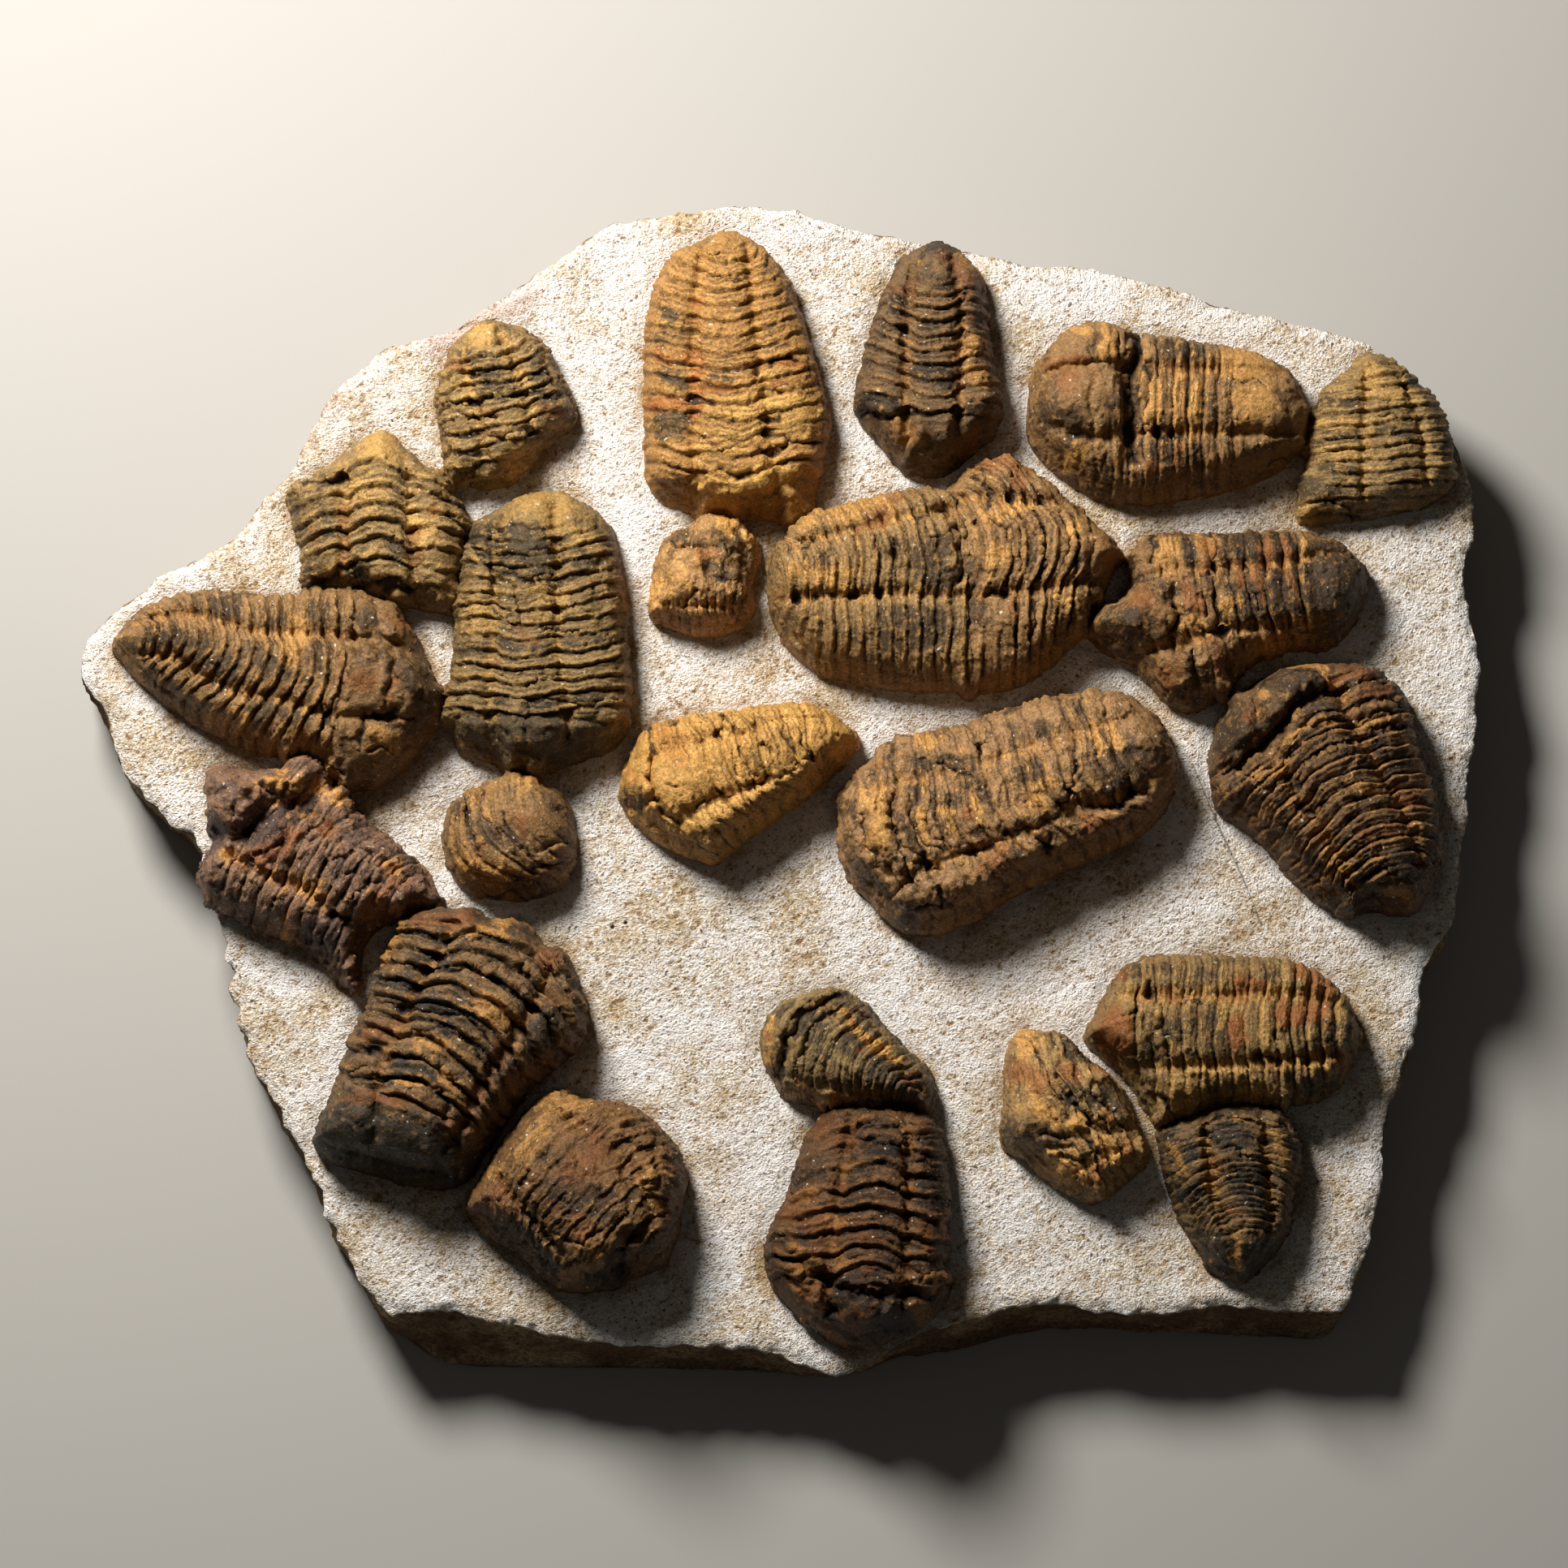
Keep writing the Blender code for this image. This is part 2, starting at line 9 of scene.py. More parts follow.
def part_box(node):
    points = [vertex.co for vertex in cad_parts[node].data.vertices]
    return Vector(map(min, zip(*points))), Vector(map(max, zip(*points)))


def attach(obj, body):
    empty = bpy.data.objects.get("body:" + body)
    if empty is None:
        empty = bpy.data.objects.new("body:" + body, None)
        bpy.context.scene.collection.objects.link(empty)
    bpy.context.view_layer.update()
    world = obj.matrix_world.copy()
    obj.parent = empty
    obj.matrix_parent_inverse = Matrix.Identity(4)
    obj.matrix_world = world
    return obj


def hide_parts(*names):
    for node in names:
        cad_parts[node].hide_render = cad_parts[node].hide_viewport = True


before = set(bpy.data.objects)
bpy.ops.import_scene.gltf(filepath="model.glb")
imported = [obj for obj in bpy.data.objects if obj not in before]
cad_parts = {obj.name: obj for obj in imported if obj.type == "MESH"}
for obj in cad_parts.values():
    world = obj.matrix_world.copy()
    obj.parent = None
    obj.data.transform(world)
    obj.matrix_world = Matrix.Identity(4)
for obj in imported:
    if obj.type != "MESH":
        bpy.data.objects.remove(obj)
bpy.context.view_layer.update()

# The plate
# A slab of pale sandy limestone, broken out of its bed with a hammer. Its face was lowered round the
# fossils with a fine steel point, which leaves short slanting pecks, and its sides are rough breaks.
MM = 0.001
plate_low, plate_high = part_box("matrix_slab")
FACE = plate_high.z / MM
RULER_ZERO = np.array([plate_low.x / MM - 0.56, plate_low.y / MM + 0.03, 0.0])
FACE_RIM_LEVEL = 22.0
WIDEST_LEVEL = 6.0
SIDE_PROFILE = ((0.0, FACE - 1.3), (0.05, 19.4), (0.16, 17.0), (0.55, 9.0), (0.95, 2.5), (1.0, 0.0))
SIDE_RINGS = 26
RIM_POINTS = 960
FACE_CELL = 0.62
SIDE_CELL = 0.95
MOAT_WIDTH = 2.2
MOAT_DEPTH = 0.8
HIDDEN_UNDER_FOSSIL = 1.6
PECK_SIZE = 1.15
PECK_DEPTH = 0.3
PECK_NARROWING = (0.55, 1.0, 1.0)
STROKE_SLANT = math.radians(-34)
SWELL_SWIRL = 17.0
SWELL_HEIGHT = 1.6
RIM_CHIPS = [(0.053, 0.4), (0.13, 2.0), (0.31, 1.1), (0.74, 0.3), (1.37, 2.2)]
BREAK_SIZE = 9.0
BREAK_DEPTH = 4.5
LOWEST_CORNER = 156.0
HAIRLINE = [(229, 125), (234, 113), (239, 102), (243, 92)]
BLACK_PITS = [(109.8, 91.6), (112.5, 92.5)]
NATURAL_RIM = [[(34, 182), (43, 192), (51, 201)], [(72, 212), (82, 217), (92, 222)]]


def colour(hex_value):
    """An sRGB hex colour as the linear colour that a shader takes."""
    parts = [int(hex_value[i:i + 2], 16) / 255 for i in (0, 2, 4)]
    return (*(p / 12.92 if p <= 0.04045 else ((p + 0.055) / 1.055) ** 2.4 for p in parts), 1.0)


def add_node(tree, kind, inputs=(), output=0, **settings):
    """Adds a node, makes its settings, fills or links its inputs, and gives one of its outputs."""
    made = tree.nodes.new(kind)
    for name, value in settings.items():
        setattr(made, name, value)
    filled = inputs.items() if isinstance(inputs, dict) else enumerate(inputs)
    for key, value in filled:
        named = [s for s in made.inputs if key in (s.identifier, s.name)]
        socket = made.inputs[key] if isinstance(key, int) else named[0]
        if isinstance(value, bpy.types.NodeSocket):
            tree.links.new(value, socket)
        else:
            socket.default_value = value
    if isinstance(output, str):
        return next(s for s in made.outputs if output in (s.identifier, s.name))
    return made.outputs[output] if len(made.outputs) else made


def cad_rim(name, height):
    """Corners of a CAD solid's rim at this height, in order round it, in ruler millimetres."""
    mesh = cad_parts[name].data
    spots = np.array([v.co for v in mesh.vertices]) / MM - RULER_ZERO
    keys = [tuple(spot) for spot in np.round(spots, 2)]
    beside = {}
    for face in mesh.polygons:
        level = [keys[i] for i in face.vertices if abs(spots[i, 2] - height) < 0.05]
        if len(level) == 2:
            beside.setdefault(level[0], set()).add(level[1])
            beside.setdefault(level[1], set()).add(level[0])
    rim = [min(beside)]
    while True:
        onward = [key for key in beside[rim[-1]] if key not in rim]
        if not onward:
            break
        rim.append(onward[0])
    rim = np.array(rim)[:, :2]
    turn = np.roll(rim, -1, axis=0)
    clockwise = (rim[:, 0] * turn[:, 1] - rim[:, 1] * turn[:, 0]).sum() < 0
    return rim[::-1] if clockwise else rim


def pairs(numbers):
    """Numbers x, y, x, y and so on, as an array with one point to a row."""
    return np.array(numbers, float).reshape(-1, 2)


def smooth_line(points, spacing, closed=False, count=None):
    """A smooth line through the points, as places evenly spaced along it."""
    knots = pairs(points)
    if closed:
        knots = np.vstack([knots[-1:], knots, knots[:2]])
    else:
        knots = np.vstack([2 * knots[:1] - knots[1:2], knots, 2 * knots[-1:] - knots[-2:-1]])
    steps = np.linspace(0, 1, 16, endpoint=False)[None, :, None]
    a, b, c, d = (knots[i:len(knots) - 3 + i, None] for i in range(4))
    line = 0.5 * (
        2 * b
        + (c - a) * steps
        + (2 * a - 5 * b + 4 * c - d) * steps ** 2
        + (3 * b - a - 3 * c + d) * steps ** 3
    ).reshape(-1, knots.shape[1])
    line = np.vstack([line, line[:1] if closed else knots[-2:-1]])
    travelled = np.concatenate([[0], np.cumsum(np.linalg.norm(np.diff(line, axis=0), axis=1))])
    count = count or max(3, round(travelled[-1] / spacing))
    wanted = np.linspace(0, travelled[-1], count, endpoint=not closed)
    return np.column_stack([np.interp(wanted, travelled, column) for column in line.T])


def places_on_line(points, line):
    """Each point's distance to a line, how far along the line that is, and which side it is on."""
    runs = np.diff(line, axis=0)
    lengths = np.linalg.norm(runs, axis=1)
    before = np.concatenate([[0], np.cumsum(lengths)])
    nearest = np.full(len(points), np.inf)
    along = np.zeros(len(points))
    side = np.zeros(len(points))
    for start, run, length, travelled in zip(line, runs, lengths, before):
        offset = points - start
        share = np.clip(offset @ run / max(length ** 2, 1e-12), 0, 1)
        away = np.hypot(*(offset - share[:, None] * run).T)
        closer = away < nearest
        nearest[closer] = away[closer]
        along[closer] = travelled + share[closer] * length
        side[closer] = np.sign(run[0] * offset[closer, 1] - run[1] * offset[closer, 0])
    return nearest, along, side


def inside(points, outline):
    """Which points lie inside a closed outline."""
    within = np.zeros(len(points), bool)
    x, y = points.T
    for (x1, y1), (x2, y2) in zip(outline, np.roll(outline, -1, axis=0)):
        crosses = (y1 > y) != (y2 > y)
        reach = x1 + (y - y1) * (x2 - x1) / (y2 - y1 if y2 != y1 else 1e-9)
        within ^= crosses & (x < reach)
    return within


def scattered_points(outline, cell, seed):
    """Points on a slightly shaken honeycomb grid that covers an outline."""
    low, high = outline.min(axis=0), outline.max(axis=0)
    columns = np.arange(low[0], high[0], cell)
    rows = np.arange(low[1], high[1], cell * math.sqrt(0.75))
    x, y = np.meshgrid(columns, rows)
    x[::2] += cell / 2
    grid = np.column_stack([x.ravel(), y.ravel()])
    return grid + np.random.default_rng(seed).uniform(-0.18, 0.18, grid.shape) * cell


def tiled(rim, inner):
    """Triangles that fill a rim through the inner points: the points, then the corners."""
    flat = np.vstack([rim, inner])
    loop = [(i, (i + 1) % len(rim)) for i in range(len(rim))]
    filled = delaunay_2d_cdt([tuple(spot) for spot in flat], loop, [], 1, 1e-6)
    return flat, np.array(filled[2])


def stone_mesh(name, spots, faces, fields):
    """A mesh object from places in ruler millimetres, with fields stored on its points."""
    mesh = bpy.data.meshes.new(name)
    mesh.from_pydata((spots + RULER_ZERO) * MM, [], faces)
    for field, values in fields.items():
        stored = mesh.attributes.new(field, "FLOAT", "POINT")
        stored.data.foreach_set("value", np.asarray(values, np.float32))
    mesh.shade_smooth()
    piece = bpy.data.objects.new(name, mesh)
    bpy.context.scene.collection.objects.link(piece)
    return piece


def shape_tree(name, sizes):
    """A Geometry Nodes tree with named inputs; gives the tree and its input node's outputs."""
    tree = bpy.data.node_groups.new(name, "GeometryNodeTree")
    tree.interface.new_socket("Geometry", in_out="INPUT", socket_type="NodeSocketGeometry")
    for size in sizes:
        kind = "NodeSocketMaterial" if size == "Stone" else "NodeSocketFloat"
        tree.interface.new_socket(size, in_out="INPUT", socket_type=kind)
    tree.interface.new_socket("Geometry", in_out="OUTPUT", socket_type="NodeSocketGeometry")
    return tree, tree.nodes.new("NodeGroupInput").outputs


def carve(piece, tree, sizes):
    """Runs a tree on a piece with these sizes and keeps what it makes as the piece's mesh."""
    modifier = piece.modifiers.new(tree.name, "NODES")
    modifier.node_group = tree
    for socket in tree.interface.items_tree:
        if socket.in_out == "INPUT" and socket.name in sizes:
            modifier[socket.identifier] = sizes[socket.name]
    shown = piece.evaluated_get(bpy.context.evaluated_depsgraph_get())
    carved = bpy.data.meshes.new_from_object(shown)
    piece.modifiers.remove(modifier)
    piece.data = carved
    piece.data.name = piece.name


pecked_tree, size = shape_tree("pecked_limestone", [
    "Peck Size", "Peck Depth", "Stroke Slant", "Break Size", "Break Depth", "Swell", "Stone",
])
spot_mm = add_node(pecked_tree, "ShaderNodeVectorMath", {
    "Vector": add_node(pecked_tree, "GeometryNodeInputPosition"), "Scale": 1 / MM,
}, operation="SCALE")
face_share, halo, free = (
    add_node(pecked_tree, "GeometryNodeInputNamedAttribute", {"Name": name})
    for name in ("face", "halo", "free")
)
turned = add_node(pecked_tree, "ShaderNodeVectorRotate", {
    "Vector": spot_mm, "Angle": size["Stroke Slant"],
}, rotation_type="Z_AXIS")
stroke_spot = add_node(pecked_tree, "ShaderNodeVectorMath", [turned, PECK_NARROWING],
                       operation="MULTIPLY")
peck_rate = add_node(pecked_tree, "ShaderNodeMath", [1.0, size["Peck Size"]], operation="DIVIDE")
pecks = add_node(pecked_tree, "ShaderNodeTexNoise", {
    "Vector": stroke_spot, "Scale": peck_rate, "Detail": 2.5, "Roughness": 0.62,
})
peck_rise = add_node(pecked_tree, "ShaderNodeMath", [pecks, -0.5], operation="ADD")
peck_height = add_node(pecked_tree, "ShaderNodeMath", [peck_rise, size["Peck Depth"]],
                       operation="MULTIPLY")
peck_fade = add_node(pecked_tree, "ShaderNodeMapRange", {
    "Value": halo, "From Max": MOAT_WIDTH, "To Min": 1.1, "To Max": 3.4,
})
pecked = add_node(pecked_tree, "ShaderNodeMath", [peck_height, peck_fade], operation="MULTIPLY")
swells = add_node(pecked_tree, "ShaderNodeTexNoise", {
    "Vector": spot_mm, "Scale": 1 / SWELL_SWIRL, "Detail": 2.0, "Roughness": 0.5,
})
swell = add_node(pecked_tree, "ShaderNodeMath", [
    add_node(pecked_tree, "ShaderNodeMath", [swells, -0.55], operation="ADD"), size["Swell"],
], operation="MULTIPLY")
break_rate = add_node(pecked_tree, "ShaderNodeMath", [1.0, size["Break Size"]],
                      operation="DIVIDE")
breaks = add_node(pecked_tree, "ShaderNodeTexNoise", {
    "Vector": spot_mm, "Scale": break_rate, "Detail": 5.0, "Roughness": 0.62, "Distortion": 0.4,
})
break_height = add_node(pecked_tree, "ShaderNodeMath", [
    add_node(pecked_tree, "ShaderNodeMath", [breaks, -0.5], operation="ADD"),
    size["Break Depth"],
], operation="MULTIPLY")
side_share = add_node(pecked_tree, "ShaderNodeMath", [1.0, face_share], operation="SUBTRACT")
broken = add_node(pecked_tree, "ShaderNodeMath", [break_height, side_share],
                  operation="MULTIPLY")
rolling = add_node(pecked_tree, "ShaderNodeMath", [swell, face_share, broken],
                   operation="MULTIPLY_ADD")
all_height = add_node(pecked_tree, "ShaderNodeMath", [
    add_node(pecked_tree, "ShaderNodeMath", [pecked, rolling], operation="ADD"), free,
], operation="MULTIPLY")
push = add_node(pecked_tree, "ShaderNodeVectorMath", {
    "Vector": add_node(pecked_tree, "GeometryNodeInputNormal"),
    "Scale": add_node(pecked_tree, "ShaderNodeMath", [all_height, MM], operation="MULTIPLY"),
}, operation="SCALE")
moved = add_node(pecked_tree, "GeometryNodeSetPosition", {
    "Geometry": size["Geometry"], "Offset": push,
})
marked = add_node(pecked_tree, "GeometryNodeStoreNamedAttribute", {
    "Geometry": moved, "Name": "peck", "Value": pecks,
})
plated = add_node(pecked_tree, "GeometryNodeSetMaterial", {
    "Geometry": add_node(pecked_tree, "GeometryNodeRealizeInstances", [marked]),
    "Material": size["Stone"],
})
add_node(pecked_tree, "NodeGroupOutput", [plated])

# Sandy limestone: grains of quartz in white lime, matt and dry. The eye gets small pale lumps with
# ochre lime and painted shade between them, grey quartz specks, and clean chalky white where the
# point passed last, round the fossils' feet, patched there with brown that is partly dust and partly
# painted bounce light. The broken sides are painted near-black brown, partly rock and partly shade.
LUMP_SIZE = 0.5
GRAIN_SIZE = 0.5
STROKE_WIDTH = 0.42
STAIN_SIZE = 15.0
SPECK_SIZE = 1.0
limestone = bpy.data.materials.new("sandy_limestone_pecked")
limestone.use_nodes = True
tree = limestone.node_tree
stone_mm = add_node(tree, "ShaderNodeVectorMath", {
    "Vector": add_node(tree, "ShaderNodeTexCoord", output="Object"), "Scale": 1 / MM,
}, operation="SCALE")
peck, halo, face_share, side, flaw, natural = (
    add_node(tree, "ShaderNodeAttribute", output="Fac", attribute_name=name)
    for name in ("peck", "halo", "face", "side", "flaw", "natural")
)
stain, lumps, speck, grains = (
    add_node(tree, "ShaderNodeTexNoise", {
        "Vector": stone_mm, "Scale": 1 / swirl, "Detail": detail, "Roughness": roughness,
    })
    for swirl, detail, roughness in (
        (STAIN_SIZE, 6.0, 0.68), (2 * LUMP_SIZE, 3.0, 0.8), (SPECK_SIZE, 1.0, 0.5),
        (GRAIN_SIZE, 2.0, 0.7),
    )
)
strokes = add_node(tree, "ShaderNodeTexNoise", {
    "Vector": add_node(tree, "ShaderNodeVectorMath", [
        add_node(tree, "ShaderNodeVectorRotate", {"Vector": stone_mm, "Angle": STROKE_SLANT},
                 rotation_type="Z_AXIS"), PECK_NARROWING,
    ], operation="MULTIPLY"),
    "Scale": 1 / (2 * STROKE_WIDTH), "Detail": 2.0, "Roughness": 0.7,
})
relief = add_node(tree, "ShaderNodeMath", [strokes, 0.6, lumps], operation="MULTIPLY_ADD")
with_pecks = add_node(tree, "ShaderNodeMath", [peck, 0.5, relief], operation="MULTIPLY_ADD")
grains_and_stain = add_node(tree, "ShaderNodeMath", [stain, 0.8, grains], operation="MULTIPLY_ADD")
# Painted shade: the hollows between the pecked lumps are painted ochre brown, partly ochre lime and partly
# painted shade.
hollows = add_node(tree, "ShaderNodeMath", [stain, -0.25, with_pecks], operation="MULTIPLY_ADD")
side_rock_and_shade_share = add_node(tree, "ShaderNodeMath", [stain, -0.8, side], operation="MULTIPLY_ADD")


def tinted(tree, look, tint, share, low=0.0, high=1.0, most=1.0):
    """A look with a tint over it: none of it where the share is low, the most where it is high."""
    look, tint = (colour(part) if isinstance(part, str) else part for part in (look, tint))
    amount = add_node(tree, "ShaderNodeMapRange", {
        "Value": share, "From Min": low, "From Max": high, "To Max": most,
    })
    return add_node(tree, "ShaderNodeMix", {
        "Factor_Float": amount, "A_Color": look, "B_Color": tint,
    }, data_type="RGBA", output="Result_Color")


# Painted bounce light: round the fossils' feet the chalky white is patched with brown, partly dust and
# partly painted light thrown back from the brown fossils.
foot_dust_and_painted_bounce = tinted(tree, "E6E2DC", "A3845A", stain, 0.47, 0.56)
broken_stone = tinted(tree, "78593C", "B79E78", stain, 0.44, 0.62)
# Painted shade: the broken sides darken to near-black brown in patches, partly the rock's own colour and
# partly painted shade.
side_rock_and_painted_shade = tinted(tree, "3A2C1E", broken_stone, lumps, 0.3, 0.6)
look = "F6F4F3"
for tint, share, low, high, most in (
    ("C4AC84", grains_and_stain, 0.83, 1.06, 1.0),
    ("8C693D", hollows, 0.87, 0.72, 0.95),
    (foot_dust_and_painted_bounce, halo, 2.8, 0.4, 0.6),
    ("5E4325", speck, 0.70, 0.75, 0.8),
    ("2A1F14", flaw, 0.0, 1.0, 1.0),
    ("A97F6C", natural, 0.0, 1.0, 0.5),
    (side_rock_and_painted_shade, side_rock_and_shade_share, -0.1, 0.2, 1.0),
):
    look = tinted(tree, look, tint, share, low, high, most)
lump_bump = add_node(tree, "ShaderNodeBump", {
    "Height": add_node(tree, "ShaderNodeMath", [grains, 0.5, relief], operation="MULTIPLY_ADD"),
    "Strength": 1.0, "Distance": 0.85 * MM,
})
surface = tree.nodes["Principled BSDF"]
surface.inputs["Roughness"].default_value = 0.93
surface.inputs["Specular IOR Level"].default_value = 0.25
tree.links.new(look, surface.inputs["Base Color"])
tree.links.new(lump_bump, surface.inputs["Normal"])

fossil_nodes = [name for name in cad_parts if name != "matrix_slab"]
OUTLINE_STEP = 0.34
TOUCHING = 2.6
OPEN_GAPS = ({"06", "07"}, {"11", "12"}, {"22", "23"}, {"22", "24"}, {"10", "13"}, {"15", "16"})
OVERLAPS = 0.45
PAIR_OVERLAPS = 1.6


def outward_from(rim, reach):
    """The outward direction at each point of a closed rim."""
    ahead = np.roll(rim, -reach, axis=0) - np.roll(rim, reach, axis=0)
    outward = np.column_stack([ahead[:, 1], -ahead[:, 0]])
    return outward / np.linalg.norm(outward, axis=1)[:, None]


def grown_together(name, rims):
    """A fossil's rim, pushed out by half the gap where it meets a neighbour."""
    rim = rims[name]
    outward = outward_from(rim, 2)
    push = np.zeros(len(rim))
    for other, beside in rims.items():
        pair = {name.split("_")[1], other.split("_")[1]}
        apart = (rim.min(axis=0) > beside.max(axis=0) + 3).any()
        apart |= (beside.min(axis=0) > rim.max(axis=0) + 3).any()
        if len(pair) == 1 or apart or pair in OPEN_GAPS:
            continue
        gap, _, _ = places_on_line(rim, np.vstack([beside, beside[:1]]))
        overlap = PAIR_OVERLAPS if pair == {"12", "13"} else OVERLAPS
        push = np.maximum(push, np.where(gap < TOUCHING, gap / 2 + overlap, 0))
    for _ in range(8):
        push = (np.roll(push, 1) + 2 * push + np.roll(push, -1)) / 4
    return rim + outward * push[:, None]


cad_rims = {name: smooth_line(cad_rim(name, FACE + 0.3), OUTLINE_STEP, closed=True)
            for name in fossil_nodes}
fossil_rims = {name: grown_together(name, cad_rims) for name in fossil_nodes}


def from_same_start(ring, start):
    """The same closed ring, begun at its point nearest to the start."""
    return np.roll(ring, -np.argmin(np.linalg.norm(ring - start, axis=1)), axis=0)


worked_rim, widest_rim = (
    from_same_start(smooth_line(cad_rim("matrix_slab", level), SIDE_CELL, closed=True,
                                count=RIM_POINTS), np.array([0.0, 147.0]))
    for level in (FACE_RIM_LEVEL, WIDEST_LEVEL)
)
rim_outward = outward_from(widest_rim, 6)
chips = sum(np.sin(np.arange(RIM_POINTS) * turn + phase) for turn, phase in RIM_CHIPS)
towards_widest = 0.62 + 0.3 * np.clip((rim_outward[:, 1] + 0.55) * 3, -1, 1)[:, None]
lowest = np.exp(-(((worked_rim[:, :1] - LOWEST_CORNER) / 17) ** 2)) * (rim_outward[:, 1:] < -0.3)
towards_widest = np.maximum(towards_widest, 0.95 * lowest)
face_rim = worked_rim + (widest_rim - worked_rim) * towards_widest
chipped_off = np.array([noise.noise((x / 3.5, y / 3.5, 0.0)) for x, y in face_rim])
chipped_off *= np.clip(-rim_outward[:, 0] * 2, 0.25, 1) * (face_rim[:, 1] < 120)
face_rim += rim_outward * (0.08 * chips - 0.25 + 1.3 * chipped_off)[:, None]

grid = scattered_points(face_rim, FACE_CELL, seed=4)
rim_away, _, _ = places_on_line(grid, np.vstack([face_rim[::4], face_rim[:1]]))
halo_of_face = np.full(len(grid), 9.0)
for rim in fossil_rims.values():
    near = ((grid > rim.min(axis=0) - 6) & (grid < rim.max(axis=0) + 6)).all(axis=1)
    away, _, _ = places_on_line(grid[near], np.vstack([rim[::3], rim[:1]]))
    away = np.where(inside(grid[near], rim[::3]), -away, away)
    halo_of_face[near] = np.minimum(halo_of_face[near], away)
kept = inside(grid, face_rim[::2]) & (rim_away > FACE_CELL * 0.7)
kept &= halo_of_face > -HIDDEN_UNDER_FOSSIL
scratch = smooth_line(HAIRLINE, 0.35)
across = np.array([0.93, 0.37])
circles = [(radius, turn) for radius, count in ((0.3, 6), (0.6, 9))
           for turn in np.linspace(0, 2 * math.pi, count, endpoint=False)]
pits = [(x + radius * math.cos(turn), y + radius * math.sin(turn))
        for x, y in BLACK_PITS for radius, turn in [(0.0, 0.0), *circles]]
pit_dark = np.tile([1.0] * 7 + [0.0] * 9, len(BLACK_PITS))
flaw_spots = np.vstack([scratch, scratch + 0.2 * across, scratch - 0.2 * across, pits])
flaw_dark = np.concatenate([np.full(len(scratch), 0.7), np.zeros(2 * len(scratch)), pit_dark])
kept &= places_on_line(grid, scratch)[0] > 0.5
for pit in BLACK_PITS:
    kept &= np.hypot(*(grid - pit).T) > 0.9
flat, triangles = tiled(face_rim, np.vstack([grid[kept], flaw_spots]))
beyond_all = np.full(len(flaw_spots), 9.0)
halo_of_face = np.concatenate([np.full(RIM_POINTS, 9.0), halo_of_face[kept], beyond_all])
rim_away = np.concatenate([np.zeros(RIM_POINTS), rim_away[kept], beyond_all])
flaws = np.concatenate([np.zeros(RIM_POINTS + kept.sum()), flaw_dark])
moat = MOAT_DEPTH * np.exp(-(np.maximum(halo_of_face, 0) / MOAT_WIDTH) ** 2)
face_height = FACE - 0.35 - moat - 0.9 * np.exp(-(rim_away / 1.3) ** 2) - 0.3 * flaws

profile_shares, profile_heights = np.array(SIDE_PROFILE).T
side_heights = np.linspace(profile_heights[0], 0, SIDE_RINGS + 1)[1:]
side_shares = np.interp(-side_heights, -profile_heights, profile_shares)
spots = [np.column_stack([flat, face_height])]
for share, height in zip(side_shares, side_heights):
    ring = face_rim + (widest_rim - face_rim) * share
    spots.append(np.column_stack([ring, np.full(RIM_POINTS, height)]))
side_size = RIM_POINTS * SIDE_RINGS


def closed_below(triangles, top_size, rim_size, rings):
    """The faces of a closed stone: its top, the rings of its wall one below the other, its base."""
    faces = triangles.tolist()
    starts = [0] + [top_size + rim_size * i for i in range(rings)]
    for upper, lower in zip(starts, starts[1:]):
        for i in range(rim_size):
            onward = (i + 1) % rim_size
            faces.append((upper + i, lower + i, lower + onward, upper + onward))
    faces.append(tuple(starts[-1] + i for i in reversed(range(rim_size))))
    return faces


faces = closed_below(triangles, len(flat), RIM_POINTS, SIDE_RINGS)
natural = sum(np.exp(-(places_on_line(np.vstack(spots)[:, :2], pairs(line))[0] / 3) ** 2)
              for line in NATURAL_RIM)
plate = stone_mesh("plate_of_sandy_limestone", np.vstack(spots), faces, {
    "flaw": np.concatenate([flaws, np.zeros(side_size)]), "natural": natural,
    "face": np.concatenate([np.clip(rim_away / 4.0, 0, 1), np.zeros(side_size)]),
    "halo": np.concatenate([np.maximum(halo_of_face, 0), np.full(side_size, 9.0)]),
    "free": np.concatenate([np.ones(len(flat)),
                            np.repeat(np.clip(side_heights / 2, 0, 1), RIM_POINTS)]),
    "side": np.concatenate([np.zeros(len(flat)),
                            np.repeat(np.clip((FACE - side_heights) / 3, 0, 1), RIM_POINTS)]),
})
carve(plate, pecked_tree, {
    "Peck Size": PECK_SIZE, "Peck Depth": PECK_DEPTH, "Stroke Slant": STROKE_SLANT,
    "Break Size": BREAK_SIZE, "Break Depth": BREAK_DEPTH, "Swell": SWELL_HEIGHT,
    "Stone": limestone,
})
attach(plate, "root")
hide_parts("matrix_slab")

# The two that stand upright at the top
# Whole shells filled with hardened lime mud and stained by iron, tail towards the top edge. Every
# fossil here is one body of stone, freed from the plate down to its steep flanks by the steel point.
FOSSIL_CELL = 0.37
FOSSIL_SUNK = 1.6
EDGE_SHARE = 0.5
ROUNDNESS = 2.3
WALL_STEP = 0.62
LAMINAE_IN_RING = 3
WAVER_SWIRL = 7.0
DOUBLING_SWIRL = 8.0
CHIP_SWIRL = 3.2
RUBBED_SWIRL = 11.0
WEATHER_SWIRL = 4.5
FLAKE_SWIRL = 3.6
CLOUD_SWIRL = 7.0
MOTTLE_SWIRL = 2.2
GRIT_SIZE = 0.6
GLINT_SPECK_SIZE = 0.9
RUST_SWIRL = 4.5


def smoothstep(low, high, values):
    share = np.clip((values - low) / (high - low), 0, 1)
    return share * share * (3 - 2 * share)


